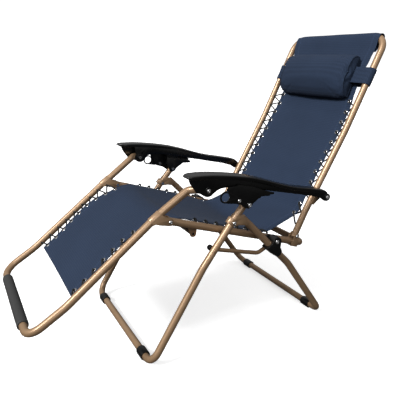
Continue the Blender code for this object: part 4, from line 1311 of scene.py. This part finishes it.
STRAP_UP = 0.211
loop = [
    (0.172, 0.023), (0.19, 0.0185), (0.215, 0.016), (0.24, 0.0152), (0.252, 0.015), (0.259, 0.0128),
    (0.2638, 0.0075), (0.2652, 0.0), (0.2638, -0.0075), (0.259, -0.0132), (0.25, -0.0166),
    (0.235, -0.0196), (0.215, -0.0219), (0.19, -0.0237), (0.15, -0.0262), (0.08, -0.0293),
    (0.0, -0.0303),
]
loop = loop + [(-x, n) for x, n in reversed(loop[:-1])]
band_line = smooth_line(loop, 0.006)
bm = bmesh.new()
rows = []
for k, p in enumerate(band_line):
    row = []
    for j in range(11):
        up = -0.031 + 0.062 * j / 10.0
        pucker = 0.0007 * noise.noise(Vector((p.x * 60.0, j * 0.5, 1.7)))
        spot = Vector((0.504, 0.714)) + UP * (STRAP_UP + up) + OUT * (p.y + pucker)
        row.append(bm.verts.new(world(p.x, spot.x, spot.y)))
    rows.append(row)
skin(bm, rows, False)
strap = rounded_edges(thickened(mesh_object("strap_band", bm), 0.0016), 0.0005, 2, 30.0)
place(strap, BAND, "headrest", 50.0)
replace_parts(strap, "pillow_strap")

# ---- floor, light and camera ------------------------------------------------------------------
floor_mat = Nodes("pale floor", grey(0.9), 0.9)
haze = floor_mat.noise(1.5, 2.0)
pale = floor_mat.ramp(haze, "Fac", [(0.3, grey(0.89)), (0.7, grey(0.91))])
floor_mat.link(pale, "Color", floor_mat.shader, "Base Color")
floor_mat.set("Specular IOR Level", 0.0)
floor_mat.set("Emission Color", (1.0, 1.0, 1.0, 1.0))
floor_mat.set("Emission Strength", 0.6)
wall_mat = Nodes("pale backdrop", grey(0.0), 1.0)
wall_mat.set("Specular IOR Level", 0.0)
wall_mat.set("Emission Color", (1.0, 1.0, 1.0, 1.0))
wall_mat.set("Emission Strength", 1.1)


def backdrop(name, verts, faces, mat):
    mesh = bpy.data.meshes.new(name)
    mesh.from_pydata(verts, [], faces)
    obj = bpy.data.objects.new(name, mesh)
    SCENE.collection.objects.link(obj)
    obj.data.materials.append(mat)
    obj.visible_diffuse = False
    obj.visible_glossy = False
    obj.visible_shadow = False


backdrop("floor", [(-40, -40, 0), (40, -40, 0), (40, 40, 0), (-40, 40, 0)], [(0, 1, 2, 3)], floor_mat.mat)
rim = [(39.0 * math.cos(math.pi * k / 24.0), 39.0 * math.sin(math.pi * k / 24.0)) for k in range(48)]
backdrop(
    "backdrop", [(x, y, z) for z in (-3.0, 40.0) for x, y in rim],
    [(k, (k + 1) % 48, 48 + (k + 1) % 48, 48 + k) for k in range(48)], wall_mat.mat,
)

sky = bpy.data.worlds.new("studio")
SCENE.world = sky
sky.use_nodes = True
tree = sky.node_tree
direction = tree.nodes.new("ShaderNodeTexCoord")
height = tree.nodes.new("ShaderNodeSeparateXYZ")
tree.links.new(direction.outputs["Generated"], height.inputs["Vector"])
half_height = tree.nodes.new("ShaderNodeMath")
half_height.operation = "MULTIPLY_ADD"
half_height.inputs[1].default_value = 0.5
half_height.inputs[2].default_value = 0.5
tree.links.new(height.outputs["Z"], half_height.inputs[0])
band = tree.nodes.new("ShaderNodeValToRGB")
band.color_ramp.interpolation = "EASE"
for k, (position, value) in enumerate(((0.4, 0.05), (0.55, 0.18), (0.7, 0.4), (1.0, 0.6))):
    stop = band.color_ramp.elements[k] if k < 2 else band.color_ramp.elements.new(position)
    stop.position = position
    stop.color = (value, value, value, 1.0)
tree.links.new(half_height.outputs["Value"], band.inputs["Fac"])
background = tree.nodes["Background"]
tree.links.new(band.outputs["Color"], background.inputs["Color"])
background.inputs["Strength"].default_value = 1.0


def area_light(name, where, target, size, energy):
    data = bpy.data.lights.new(name, "AREA")
    data.shape = "RECTANGLE"
    data.size, data.size_y = size
    data.energy = energy
    obj = bpy.data.objects.new(name, data)
    SCENE.collection.objects.link(obj)
    obj.location = where
    obj.rotation_euler = (Vector(target) - Vector(where)).to_track_quat("-Z", "Y").to_euler()
    return obj


sun = bpy.data.lights.new("key", "SUN")
sun.energy = 3.5
sun.angle = math.radians(14.0)
key = bpy.data.objects.new("key", sun)
SCENE.collection.objects.link(key)
key.rotation_euler = Vector((-0.1, 0.75, -0.62)).to_track_quat("-Z", "Y").to_euler()
area_light("side", (3.2, -1.0, 2.2), (0.0, 0.1, 0.5), (1.4, 1.8), 30.0)

SCENE.view_settings.view_transform = "Standard"

TURN = math.radians(61.43)
TILT = math.radians(17.22)
forward = Vector((-math.sin(TURN) * math.cos(TILT), math.cos(TURN) * math.cos(TILT), -math.sin(TILT)))
rightward = Vector((math.cos(TURN), math.sin(TURN), 0.0))
camera_data = bpy.data.cameras.new("camera")
camera_data.sensor_width = 36.0
camera_data.lens = 41.616
camera_data.shift_x = -0.002
camera_data.shift_y = 0.0015
camera = bpy.data.objects.new("camera", camera_data)
SCENE.collection.objects.link(camera)
axes = Matrix((rightward, rightward.cross(forward), -forward)).transposed().to_4x4()
camera.matrix_world = Matrix.Translation(world(1.4835, -0.7687, 0.9711)) @ axes
SCENE.camera = camera
